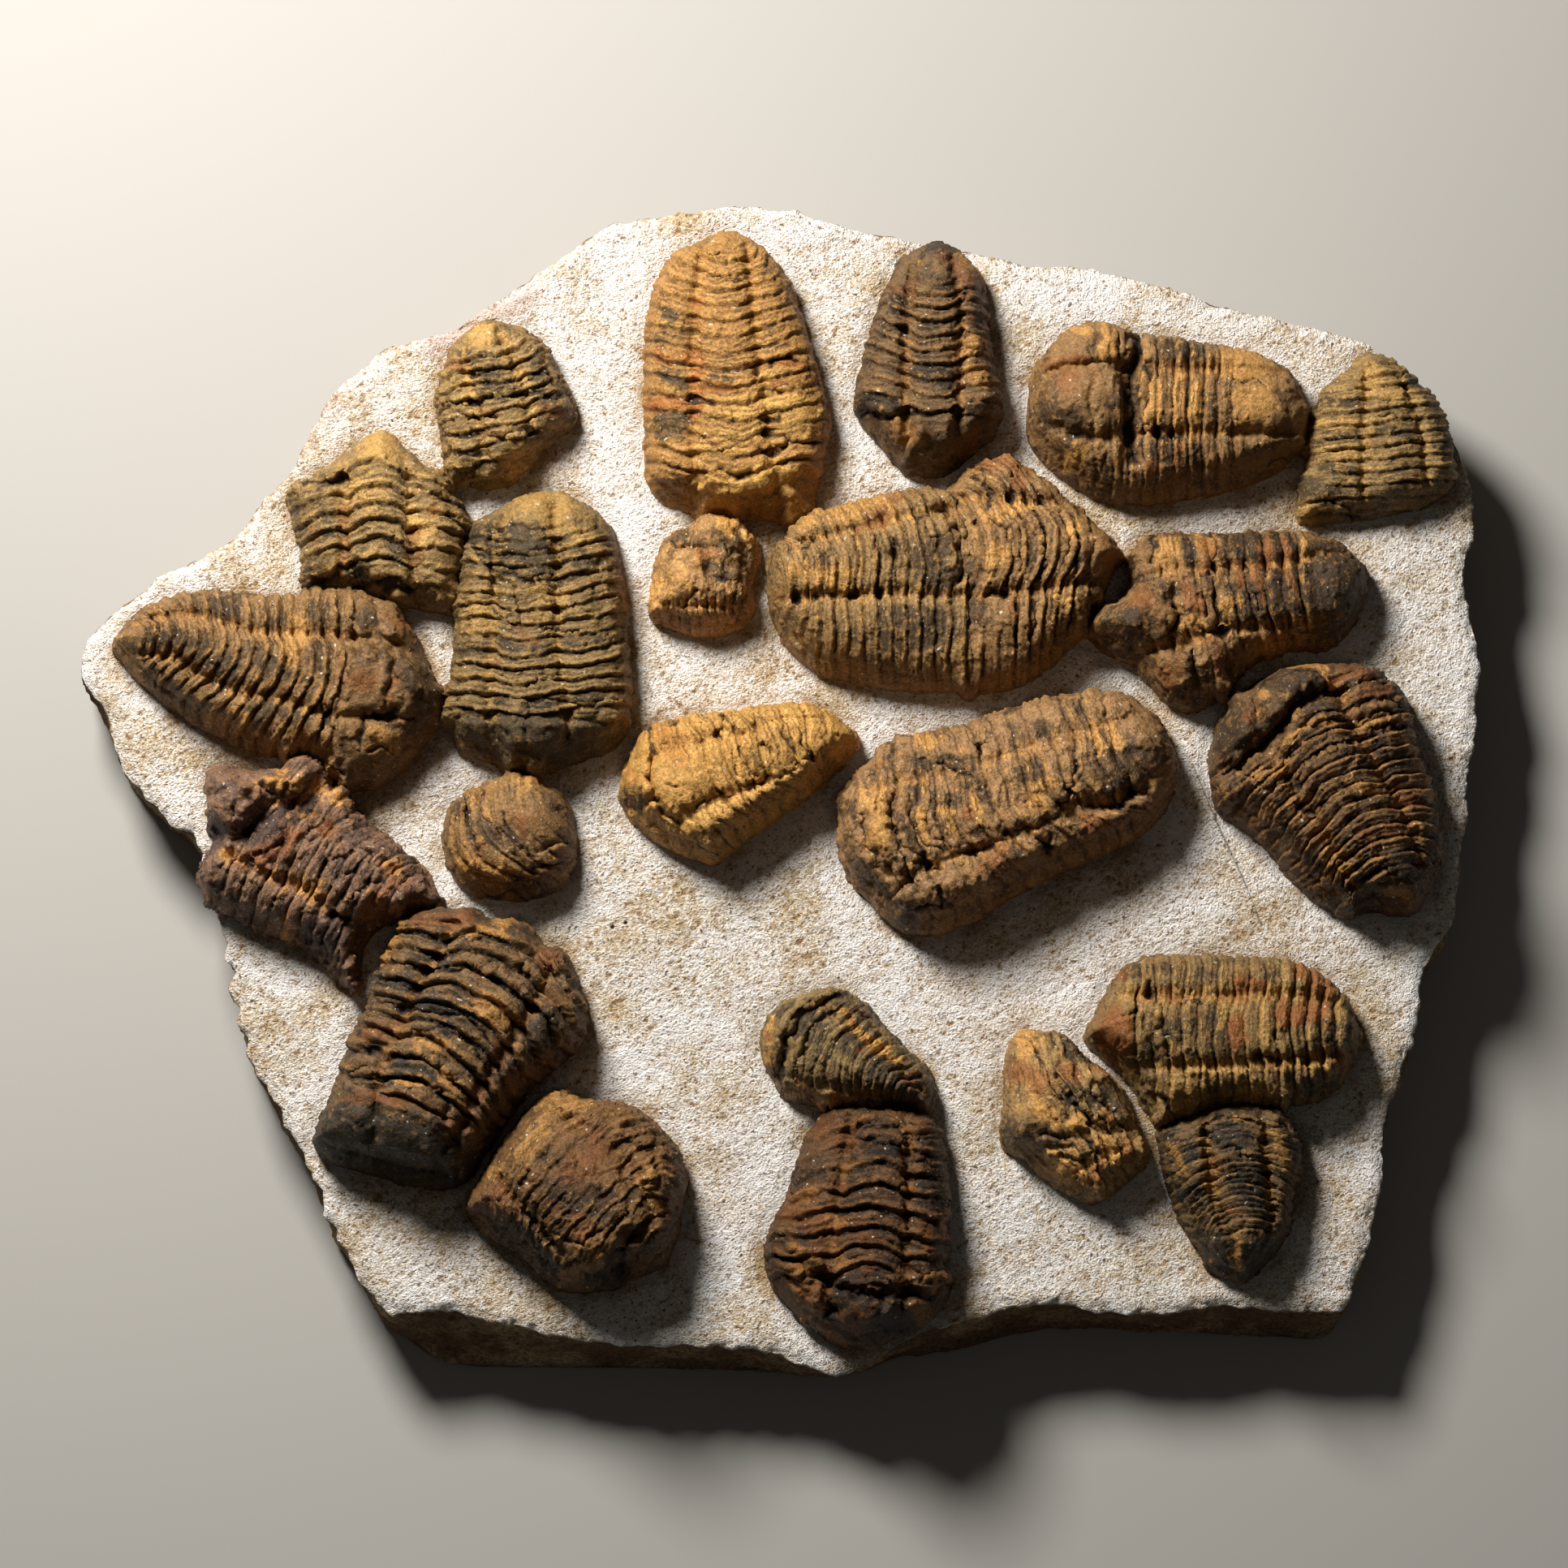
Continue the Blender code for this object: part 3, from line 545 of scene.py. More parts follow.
rings_tree, size = shape_tree("thoracic_rings", [
    "Ring Spacing", "Ring Relief", "Gap Depth", "Raggedness", "Furrow Depth", "Furrow Width",
    "Laminae", "Flaking", "Weathering", "Seed", "Stone",
])
spot_mm = add_node(rings_tree, "ShaderNodeVectorMath", {
    "Vector": add_node(rings_tree, "GeometryNodeInputPosition"), "Scale": 1 / MM,
}, operation="SCALE")
ring_line, fade, rough, beside, lobe = (
    add_node(rings_tree, "GeometryNodeInputNamedAttribute", {"Name": name})
    for name in ("ring_line", "fade", "rough", "beside", "lobe")
)
waver, doubled, chipped, rubbed, worn = (
    add_node(rings_tree, "ShaderNodeTexNoise", {
        "Vector": spot_mm, "W": size["Seed"], "Scale": 1 / swirl, "Detail": detail,
        "Roughness": roughness,
    }, noise_dimensions="4D")
    for swirl, detail, roughness in (
        (WAVER_SWIRL, 2.5, 0.52), (DOUBLING_SWIRL, 2.0, 0.5), (CHIP_SWIRL, 2.0, 0.6),
        (RUBBED_SWIRL, 2.0, 0.6), (WEATHER_SWIRL, 4.0, 0.6),
    )
)
waver_mm = add_node(rings_tree, "ShaderNodeMath", [
    add_node(rings_tree, "ShaderNodeMath", [waver, -0.5], operation="ADD"), size["Raggedness"],
], operation="MULTIPLY")
line_place = add_node(rings_tree, "ShaderNodeMath", [ring_line, waver_mm], operation="ADD")
ring_place = add_node(rings_tree, "ShaderNodeMath", [line_place, size["Ring Spacing"]],
                      operation="DIVIDE")
ring_number = add_node(rings_tree, "ShaderNodeMath", [ring_place], operation="FLOOR")
within_ring = add_node(rings_tree, "ShaderNodeMath", [ring_place], operation="FRACT")
own_strength = add_node(rings_tree, "ShaderNodeMapRange", {
    "Value": add_node(rings_tree, "ShaderNodeTexWhiteNoise", {
        "W": add_node(rings_tree, "ShaderNodeMath", [ring_number, size["Seed"]],
                      operation="ADD"),
    }, noise_dimensions="1D"),
    "To Min": 0.45, "To Max": 1.4,
})
band, double_band, opening, crest = (
    add_node(rings_tree, "ShaderNodeFloatCurve", {"Value": within_ring}) for _ in range(4)
)
for curve_output, shape in (
    (band, [(0, 0), (0.12, 0.48), (0.3, 0.84), (0.5, 0.98), (0.68, 0.98), (0.86, 0.68), (1, 0)]),
    (double_band, [(0, 0), (0.11, 0.52), (0.24, 0.76), (0.36, 0.58), (0.46, 0.6), (0.6, 0.94),
                   (0.74, 1.0), (0.9, 0.6), (1, 0)]),
    (opening, [(0, 1), (0.06, 0.3), (0.12, 0), (0.88, 0), (0.94, 0.3), (1, 1)]),
    (crest, [(0, 0), (0.45, 0), (0.62, 0.8), (0.72, 1), (0.84, 0.5), (1, 0)]),
):
    curve = curve_output.node.mapping.curves[0]
    for _ in shape[2:]:
        curve.points.new(0.5, 0.5)
    for point, spot in zip(curve.points, shape):
        point.location = spot
    curve_output.node.mapping.update()
ring_shape = add_node(rings_tree, "ShaderNodeMix", {
    "Factor_Float": add_node(rings_tree, "ShaderNodeMapRange", {
        "Value": doubled, "From Min": 0.42, "From Max": 0.58,
    }),
    "A_Float": band, "B_Float": double_band,
}, data_type="FLOAT", output="Result_Float")

# The furrow wanders by a millimetre, and is deeper between two rings than over a ring.
wander = add_node(rings_tree, "ShaderNodeMath", [
    add_node(rings_tree, "ShaderNodeMath", [chipped, -0.5], operation="ADD"), 3.0, beside,
], operation="MULTIPLY_ADD")
from_furrow = add_node(rings_tree, "ShaderNodeMath", [wander, size["Furrow Width"]],
                       operation="DIVIDE")
furrow = add_node(rings_tree, "ShaderNodeMath", [
    add_node(rings_tree, "ShaderNodeMath", [
        add_node(rings_tree, "ShaderNodeMath", [
            add_node(rings_tree, "ShaderNodeMath", [from_furrow, from_furrow],
                     operation="MULTIPLY"), -1.0,
        ], operation="MULTIPLY"),
    ], operation="EXPONENT"), lobe,
], operation="MULTIPLY")
furrow_gain = add_node(rings_tree, "ShaderNodeMath", [ring_shape, -0.6, 1.2],
                       operation="MULTIPLY_ADD")
furrow_mm = add_node(rings_tree, "ShaderNodeMath", [
    add_node(rings_tree, "ShaderNodeMath", [furrow, furrow_gain], operation="MULTIPLY"),
    size["Furrow Depth"],
], operation="MULTIPLY")
gap_share = add_node(rings_tree, "ShaderNodeMapRange", {
    "Value": chipped, "From Min": 0.5, "From Max": 0.68,
})
gap_open = add_node(rings_tree, "ShaderNodeMath", [
    add_node(rings_tree, "ShaderNodeMath", [opening, fade], operation="MULTIPLY"),
    add_node(rings_tree, "ShaderNodeMath", [furrow, 0.5, gap_share], operation="MULTIPLY_ADD"),
], operation="MULTIPLY")
worn_flat = add_node(rings_tree, "ShaderNodeMapRange", {
    "Value": rubbed, "From Min": 0.36, "From Max": 0.5, "To Min": 0.45,
})
ring_height = add_node(rings_tree, "ShaderNodeMath", [
    add_node(rings_tree, "ShaderNodeMath", [ring_shape, -0.6], operation="ADD"),
    add_node(rings_tree, "ShaderNodeMath", [
        add_node(rings_tree, "ShaderNodeMath", [own_strength, worn_flat], operation="MULTIPLY"),
        fade,
    ], operation="MULTIPLY"),
], operation="MULTIPLY")
ring_mm = add_node(rings_tree, "ShaderNodeMath", [ring_height, size["Ring Relief"]],
                   operation="MULTIPLY")
gap_mm = add_node(rings_tree, "ShaderNodeMath", [gap_open, size["Gap Depth"], furrow_mm],
                  operation="MULTIPLY_ADD")

# Thin laminae run along each ring, flakes of shell have come off in steps, and all of it is worn.
laminae = add_node(rings_tree, "ShaderNodeMath", [
    add_node(rings_tree, "ShaderNodeMath", [
        add_node(rings_tree, "ShaderNodeMath", [ring_place, 2 * math.pi * LAMINAE_IN_RING],
                 operation="MULTIPLY"),
    ], operation="SINE"),
    add_node(rings_tree, "ShaderNodeMath", [chipped, fade], operation="MULTIPLY"),
], operation="MULTIPLY")
laminae_mm = add_node(rings_tree, "ShaderNodeMath", [laminae, size["Laminae"]],
                      operation="MULTIPLY")
flaked = add_node(rings_tree, "ShaderNodeMapRange", {
    "Value": add_node(rings_tree, "ShaderNodeTexNoise", {
        "Vector": spot_mm, "W": add_node(rings_tree, "ShaderNodeMath", [size["Seed"], 7.0]),
        "Scale": 1 / FLAKE_SWIRL, "Detail": 4.0, "Roughness": 0.6,
    }, noise_dimensions="4D"),
    "From Min": 0.54, "From Max": 0.575,
}, interpolation_type="SMOOTHSTEP")
flaked_mm = add_node(rings_tree, "ShaderNodeMath", [flaked, size["Flaking"], laminae_mm],
                     operation="MULTIPLY_ADD")
worn_mm = add_node(rings_tree, "ShaderNodeMath", [
    add_node(rings_tree, "ShaderNodeMath", [
        add_node(rings_tree, "ShaderNodeMath", [worn, -0.5], operation="ADD"),
        size["Weathering"],
    ], operation="MULTIPLY"),
    add_node(rings_tree, "ShaderNodeMath", [rough, 3.0, 1.0], operation="MULTIPLY_ADD"),
], operation="MULTIPLY")
raised_mm = add_node(rings_tree, "ShaderNodeMath", [
    add_node(rings_tree, "ShaderNodeMath", [ring_mm, worn_mm], operation="ADD"), flaked_mm,
], operation="ADD")
height_mm = add_node(rings_tree, "ShaderNodeMath", [raised_mm, gap_mm], operation="SUBTRACT")
push = add_node(rings_tree, "ShaderNodeVectorMath", {
    "Vector": add_node(rings_tree, "GeometryNodeInputNormal"),
    "Scale": add_node(rings_tree, "ShaderNodeMath", [height_mm, MM], operation="MULTIPLY"),
}, operation="SCALE")
shaped = add_node(rings_tree, "GeometryNodeSetPosition", {
    "Geometry": size["Geometry"], "Offset": push,
})
crest_shown = add_node(rings_tree, "ShaderNodeMath", [crest, fade], operation="MULTIPLY")
for name, value in (("ring", ring_height), ("gap", gap_open), ("crest", crest_shown),
                    ("flake", flaked), ("furrow", furrow), ("lamina", ring_place)):
    shaped = add_node(rings_tree, "GeometryNodeStoreNamedAttribute", {
        "Geometry": shaped, "Name": name, "Value": value,
    })
stained = add_node(rings_tree, "GeometryNodeSetMaterial", {
    "Geometry": add_node(rings_tree, "GeometryNodeRealizeInstances", [shaped]),
    "Material": size["Stone"],
})
add_node(rings_tree, "NodeGroupOutput", [stained])


def ironstone(name, shell, patina, ochre, rust, painted_crack_shade, patina_share, ochre_share, rust_share=0.5,
              tone=1.0):
    """Lime mud hardened inside the shell and stained by iron: matt, with a dull shine on bare shell.
    Shell is its main brown, patina the grey-black film on what stands proud, ochre and rust the
    iron earths that gather in hollows, and the crack colour a painted shade: near black painted at the
    bottom of cracks and pits and in the gaps between rings. Ring troughs are painted darker as shade,
    crests lighter as highlight, and pale specks are painted bright as glints."""
    stone = bpy.data.materials.new(name)
    stone.use_nodes = True
    tree = stone.node_tree
    stone_mm = add_node(tree, "ShaderNodeVectorMath", {
        "Vector": add_node(tree, "ShaderNodeTexCoord", output="Object"), "Scale": 1 / MM,
    }, operation="SCALE")
    ring, gap, crest, flake, crack, furrow, steep, dark, pale, red, lamina, fade = (
        add_node(tree, "ShaderNodeAttribute", output="Fac", attribute_name=attribute)
        for attribute in ("ring", "gap", "crest", "flake", "crack", "furrow", "steep", "dark",
                          "ochre", "rust", "lamina", "fade")
    )
    cloud, mottle, grit, redness, painted_glint_specks = (
        add_node(tree, "ShaderNodeTexNoise", {
            "Vector": stone_mm, "Scale": 1 / swirl, "Detail": detail, "Roughness": roughness,
            "Distortion": distortion,
        })
        for swirl, detail, roughness, distortion in (
            (CLOUD_SWIRL, 5.0, 0.66, 0.0), (MOTTLE_SWIRL, 5.0, 0.7, 0.0), (GRIT_SIZE, 3.0, 0.78, 0.0),
            (RUST_SWIRL, 5.0, 0.72, 0.6), (GLINT_SPECK_SIZE, 0.0, 0.5, 0.0),
        )
    )
    lamina_turns = add_node(tree, "ShaderNodeMath", [
        lamina, 2 * math.pi * LAMINAE_IN_RING,
        add_node(tree, "ShaderNodeMath", [mottle, 14.0], operation="MULTIPLY"),
    ], operation="MULTIPLY_ADD")
    thin_line = add_node(tree, "ShaderNodeMapRange", {
        "Value": add_node(tree, "ShaderNodeMath", [lamina_turns], operation="SINE"),
        "From Min": 0.1, "From Max": 1.0,
    })
    lines = add_node(tree, "ShaderNodeMath", [
        add_node(tree, "ShaderNodeMath", [thin_line, fade], operation="MULTIPLY"),
        add_node(tree, "ShaderNodeMapRange", {
            "Value": cloud, "From Min": 0.4, "From Max": 0.62, "To Min": 0.2,
        }),
    ], operation="MULTIPLY")
    film = add_node(tree, "ShaderNodeMath", [
        add_node(tree, "ShaderNodeMath", [cloud, mottle], operation="ADD"),
        add_node(tree, "ShaderNodeMath", [
            ring, -0.22, add_node(tree, "ShaderNodeMath", [flake, -0.10, dark],
                                  operation="MULTIPLY_ADD"),
        ], operation="MULTIPLY_ADD"),
    ], operation="ADD")
    earth = add_node(tree, "ShaderNodeMath", [
        add_node(tree, "ShaderNodeMath", [furrow, 0.12, mottle], operation="MULTIPLY_ADD"),
        add_node(tree, "ShaderNodeMath", [
            crest, 0.14, add_node(tree, "ShaderNodeMath", [ring, -0.12, pale],
                                  operation="MULTIPLY_ADD"),
        ], operation="MULTIPLY_ADD"),
    ], operation="ADD")
    rusting = add_node(tree, "ShaderNodeMath", [
        add_node(tree, "ShaderNodeMath", [furrow, 0.10, redness], operation="MULTIPLY_ADD"), red,
    ], operation="ADD")
    look = shell
    for tint, share, low, high, most in (
        (patina, film, 1.14 - patina_share * 0.4, 1.3 - patina_share * 0.4, 0.9),
        (ochre, earth, 0.68 - ochre_share * 0.28, 0.86 - ochre_share * 0.28, 0.9),
        (rust, rusting, 0.68 - rust_share * 0.2, 0.86 - rust_share * 0.2, 0.75),
        (shell, steep, 0.2, 1.0, 0.35),
    ):
        look = tinted(tree, look, tint, share, low, high, most)
    # Painted shade and highlight: each ring is painted darker in its troughs and lighter on its crests,
    # scaled by the fossil's own tone.
    ring_painted_shade_and_tone = add_node(tree, "ShaderNodeMapRange", {
        "Value": ring, "From Min": -0.45, "From Max": 0.3, "To Min": 0.61 * tone,
        "To Max": 1.1 * tone,
    })
    # Fine grit varies the brightness at random, and the lamina lines are painted darker as shade in their
    # grooves.
    grit_grain_and_painted_line_shade = add_node(tree, "ShaderNodeMapRange", {
        "Value": add_node(tree, "ShaderNodeMath", [lines, -0.18, grit],
                          operation="MULTIPLY_ADD"),
        "From Min": 0.3, "From Max": 0.7, "To Min": 0.5, "To Max": 1.5,
    })
    look = add_node(tree, "ShaderNodeVectorMath", {
        "Vector": look,
        "Scale": add_node(tree, "ShaderNodeMath", [ring_painted_shade_and_tone, grit_grain_and_painted_line_shade], operation="MULTIPLY"),
    }, operation="SCALE")
    # Painted shade: ring gaps are painted near black, partly rust, and cracks and pits are painted near
    # black.
    for tint, share, low, high, most in (
        (tinted(tree, painted_crack_shade, rust, redness, 0.48, 0.62, 0.7), gap, 0.4, 1.0, 0.85),
        (painted_crack_shade, crack, 0.45, 0.95, 0.93),
        # Painted glints: pale specks painted bright as tiny highlights.
        ("D9CDB6", painted_glint_specks, 0.80, 0.84, 0.7),
    ):
        look = tinted(tree, look, tint, share, low, high, most)
    rough_bump = add_node(tree, "ShaderNodeBump", {
        "Height": mottle, "Strength": 0.7, "Distance": 0.55 * MM,
    })
    line_bump = add_node(tree, "ShaderNodeBump", {
        "Height": lines, "Strength": 0.8, "Distance": 0.3 * MM, "Normal": rough_bump,
    }, invert=True)
    grit_bump = add_node(tree, "ShaderNodeBump", {
        "Height": grit, "Strength": 0.9, "Distance": 0.35 * MM, "Normal": line_bump,
    })
    gloss = add_node(tree, "ShaderNodeMapRange", {
        "Value": grit, "From Min": 0.35, "From Max": 0.75, "To Min": 0.72, "To Max": 0.42,
    })
    surface = tree.nodes["Principled BSDF"]
    surface.inputs["Specular IOR Level"].default_value = 0.35
    tree.links.new(look, surface.inputs["Base Color"])
    tree.links.new(gloss, surface.inputs["Roughness"])
    tree.links.new(grit_bump, surface.inputs["Normal"])
    return stone


def head_relief(forward, aside, half, edge):
    """Height in mm of the worn head: the bulb between the furrows with its lobes, cheeks, eyes."""
    length = max(forward.max() - 3.5, 4.0)
    bulb_half = half * (1 - 0.35 * np.clip(forward / length, 0, 1))
    on_bulb = np.clip(1 - (aside / bulb_half) ** 2, 0, 1) * smoothstep(-0.5, 2.0, forward)
    front = smoothstep(length - 1.0, length - 3.5, forward)
    relief = 1.5 * np.sqrt(on_bulb) * front
    relief -= 1.0 * np.exp(-((np.abs(aside) - bulb_half) / 0.9) ** 2) * front
    for share, radius in ((0.22, 2.2), (0.5, 1.7), (0.74, 1.3)):
        lobe = (forward - share * length) ** 2 + (np.abs(aside) - 0.72 * bulb_half) ** 2
        relief += 0.7 * np.exp(-lobe / radius ** 2)
        notch = (forward - (share + 0.13) * length) ** 2 + (np.abs(aside) - bulb_half) ** 2
        relief -= 0.6 * np.exp(-notch / 0.9 ** 2)
    eye = (forward - 0.45 * length) ** 2 + (np.abs(aside) - bulb_half - 3.6) ** 2
    relief += 1.1 * np.exp(-eye / 1.7 ** 2)
    relief -= 0.7 * np.exp(-(forward / 0.8) ** 2)
    relief += 0.5 * np.exp(-((forward - 1.6) / 0.9) ** 2)
    return relief * smoothstep(0.0, 2.0, edge) * smoothstep(-1.2, 0.4, forward)


MARK_FIELDS = {
    "pit": "crack", "crack": "crack", "rubble": "rough", "dark": "dark", "ochre": "ochre",
    "rust": "rust",
}
CARVES = {"pit": -1, "crack": -1, "groove": -1, "lump": 1, "ridge": 1}
PLAIN_RINGS = {
    "Ring Spacing": 3.6, "Ring Relief": 1.4, "Gap Depth": 0.6, "Raggedness": 4.2,
    "Furrow Depth": 1.1, "Furrow Width": 1.5, "Laminae": 0.24, "Flaking": 0.4,
    "Weathering": 1.6,
}
MARK_SIZES = {
    "pit": (0.5, 1.2), "crack": (0.4, 0.9), "groove": (0.8, 1.2), "lump": (3.4, 1), "ridge": (0.8, 0.9),
    "shelf": (2.5, 3), "rubble": (2.6, 0.5), "worn": (5, 1), "dark": (2.2, 0.4), "ochre": (1.6, 0.5),
    "rust": (1.4, 0.3),
}


def shaken(points, size, amount):
    """The points moved about by smooth noise with swirls of this size."""
    moves = np.array([noise.noise_vector((x / size, y / size, 0.0)) for x, y in points])
    return points + amount * moves[:, :2]


def trilobite(node, slot, stone, spine, furrows, rings, bow=1.4, sweep=(1.6, 1.6), shift=0.0,
              neck=None, tail_to=4.0, crowding=0.35, swell=(0.8, 1.0, 1.0, 0.92), joined=None,
              **marks):
    """One fossil in place of its CAD node. The spine runs from tail to head and the furrows beside
    it. A ring's middle stands forward by the bow, its ends lie back by the sweep, and outside the
    furrows it is shifted. The neck is how far the head begins from the tail's end; joined is a line
    where the next fossil grows on. The marks are hollows, lumps and stains by kind, each with its
    points, and with its width and amount where these differ from its kind's."""
    outline = fossil_rims[node]
    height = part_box(node)[1].z / MM - FACE
    outward = outward_from(outline, 2)
    lean = 0.35 + 0.16 * height * np.clip(-outward[:, 1], 0, 1) + 0.6 * np.abs(outward[:, 0])
    step = np.roll(outline, -1, axis=0) - outline
    for _ in range(24):
        shoulder = outline - outward * lean[:, None]
        kept_step = ((np.roll(shoulder, -1, axis=0) - shoulder) * step).sum(axis=1)
        folded = kept_step < 0.3 * (step ** 2).sum(axis=1)
        folded = np.any([np.roll(folded, shift_by) for shift_by in range(-5, 6)], axis=0)
        lean = np.where(folded, lean * 0.8, lean)
    for _ in range(6):
        shoulder = (np.roll(shoulder, 1, axis=0) + 2 * shoulder + np.roll(shoulder, -1, axis=0)) / 4
    grid = scattered_points(shoulder, FOSSIL_CELL, seed=len(outline))
    grid = grid[inside(grid, shoulder[::2])]
    edge, _, _ = places_on_line(grid, np.vstack([shoulder[::2], shoulder[:1]]))
    grid = grid[edge > FOSSIL_CELL * 0.6]
    edge = edge[edge > FOSSIL_CELL * 0.6]
    flat, triangles = tiled(shoulder, grid)
    rim_edge = np.zeros(len(shoulder))
    if joined:
        apart = places_on_line(shoulder, pairs(joined))[0] > 3.0
        first = np.flatnonzero(apart & ~np.roll(apart, 1))[0]
        free_rim = np.roll(shoulder, -first, axis=0)[:apart.sum()]
        edge, _, _ = places_on_line(grid, free_rim[::2])
        rim_edge, _, _ = places_on_line(shoulder, free_rim)
    rim_size, top_size = len(shoulder), len(flat)

    wall_steps = max(6, round((height * EDGE_SHARE + FOSSIL_SUNK) / WALL_STEP))
    drops = np.arange(1, wall_steps + 1) / wall_steps
    bulge = np.sin(drops * math.pi / 2) ** 0.8
    walls = [shoulder * (1 - out) + outline * out for out in bulge]
    flat_all = np.vstack([flat, *walls])
    edge_all = np.concatenate([rim_edge, edge, np.tile(rim_edge, wall_steps)])
    ragged = shaken(shaken(flat_all, 3.0, 1.1), 1.2, 0.5)

    line = smooth_line(spine, 1.0)
    reach = 25.0
    first, last = line[0] - line[2], line[-1] - line[-3]
    line = np.vstack([
        line[0] + first / np.linalg.norm(first) * reach, line,
        line[-1] + last / np.linalg.norm(last) * reach,
    ])
    length = np.linalg.norm(np.diff(line[1:-1], axis=0), axis=1).sum()
    away, along, side = places_on_line(flat_all, line)
    along = along - reach
    aside = away * side
    half = []
    for beside in furrows:
        beside = smooth_line(beside, 1.0)
        offset, place, _ = places_on_line(beside, line)
        order = np.argsort(place)
        half.append(np.interp(along, place[order] - reach, offset[order]))
    first_side = places_on_line(smooth_line(furrows[0], 1.0), line)[2].mean()
    half = np.where(side * first_side > 0, half[0], half[1]).clip(1.0)
    share = np.clip(along / length, 0, 1)
    axis = np.clip(aside / half, -1, 1)
    beyond = np.maximum(away - half, 0)
    pleura = beyond / (beyond + edge_all + 0.3)

    ridge_from, ridge_to = 9.0, length - 9.0
    to_ridge = np.hypot(away, along - np.clip(along, ridge_from, ridge_to))
    out_share = to_ridge / (to_ridge + edge_all + 1e-6)
    dome = EDGE_SHARE + (1 - EDGE_SHARE) * np.sqrt(np.clip(1 - out_share ** ROUNDNESS, 0, 1))
    rise = height * dome * np.interp(share, [0, 0.3, 0.75, 1], swell)
    lobe = smoothstep(0.0, 3.0, edge_all)
    rise += 1.5 * np.sqrt(np.clip(1 - axis ** 2, 0, 1)) * lobe
    rise += 1.1 * np.sin(math.pi * pleura) * lobe
    fade = smoothstep(tail_to - 2, tail_to + 2, along)
    fade *= 0.6 + 0.4 * smoothstep(0.0, 2.5, edge_all)
    if neck:
        forward = along - neck
        rise += head_relief(forward, aside, half, edge_all)
        fade *= smoothstep(1.0, -0.6, forward)
        lobe = lobe * smoothstep(3.0, -1.0, forward)
    fields = {name: np.zeros(len(flat_all)) for name in ("crack", "rough", "dark", "ochre", "rust")}
    for kind, points, *sizes in [(kind, *mark) for kind in marks for mark in marks[kind]]:
        width, amount = (*sizes, *MARK_SIZES[kind][len(sizes):])
        line_of_mark = pairs(points * 2 if len(points) == 2 else points)
        away_mark, _, side_of_mark = places_on_line(ragged, line_of_mark)
        spread = np.exp(-((away_mark / width) ** 2))
        if kind in CARVES:
            rise += CARVES[kind] * amount * spread
        if kind == "shelf":
            beyond_line = -away_mark * side_of_mark
            rise -= amount * smoothstep(0, width, beyond_line)
            fade = fade * smoothstep(width, 0, beyond_line)
        if kind in MARK_FIELDS:
            strength = 1.0 if kind in ("pit", "crack") else amount
            fields[MARK_FIELDS[kind]] = np.maximum(fields[MARK_FIELDS[kind]], strength * spread)
        if kind in ("worn", "rubble", "lump"):
            fade = fade * (1 - min(1.0, amount) * spread)
            lobe = lobe * (1 - min(1.0, amount) * spread)

    top_height = FACE + rise[:top_size]
    wall_top = top_height[:rim_size]
    foot = FACE - FOSSIL_SUNK
    wall_heights = [wall_top + (foot - wall_top) * drop for drop in drops]
    spots = np.column_stack([flat_all, np.concatenate([top_height, *wall_heights])])
    steep = np.concatenate([np.zeros(top_size), np.repeat(drops, rim_size)])
    fade = fade * (1 - 0.75 * smoothstep(0.3, 1.0, steep))

    ring_line = along + crowding * (along - along ** 2 / (2 * length))
    ring_line += bow * (axis ** 2 - 1)
    side_sweep = np.where(side * first_side > 0, *sweep) * (1 + 1.4 * (1 - share) ** 2)
    ring_line += side_sweep * pleura ** 1.5 + shift * smoothstep(-0.6, 0.6, away - half)
    stain = ironstone("limonite_stained_shell_" + node.split("_", 2)[2], **stone)
    faces = closed_below(triangles, top_size, rim_size, wall_steps)
    piece = stone_mesh("stone_of_" + node, spots, faces, {
        "ring_line": ring_line, "fade": fade, "steep": steep, "beside": away - half,
        "lobe": lobe, **fields,
    })
    carve(piece, rings_tree, {**PLAIN_RINGS, **rings, "Seed": float(rim_size), "Stone": stain})
    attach(piece, "root")
    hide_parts(node)
    return piece


OCHRE = {
    "shell": "A97C42", "patina": "54432C", "ochre": "C69850", "rust": "9A5A26", "painted_crack_shade": "1E1106",
    "patina_share": 0.22, "ochre_share": 0.5,
}
OLIVE = {
    "shell": "8C7044", "patina": "473A26", "ochre": "B89050", "rust": "85592C", "painted_crack_shade": "140B04",
    "patina_share": 0.4, "ochre_share": 0.5, "rust_share": 0.25,
}
BROWN = {
    "shell": "8F6C42", "patina": "4A3822", "ochre": "BE8D4C", "rust": "8C582C", "painted_crack_shade": "140B04",
    "patina_share": 0.42, "ochre_share": 0.45,
}
DARK = {
    "shell": "6C5232", "patina": "33281A", "ochre": "A67840", "rust": "744826", "painted_crack_shade": "0C0703",
    "patina_share": 0.5, "ochre_share": 0.4,
}

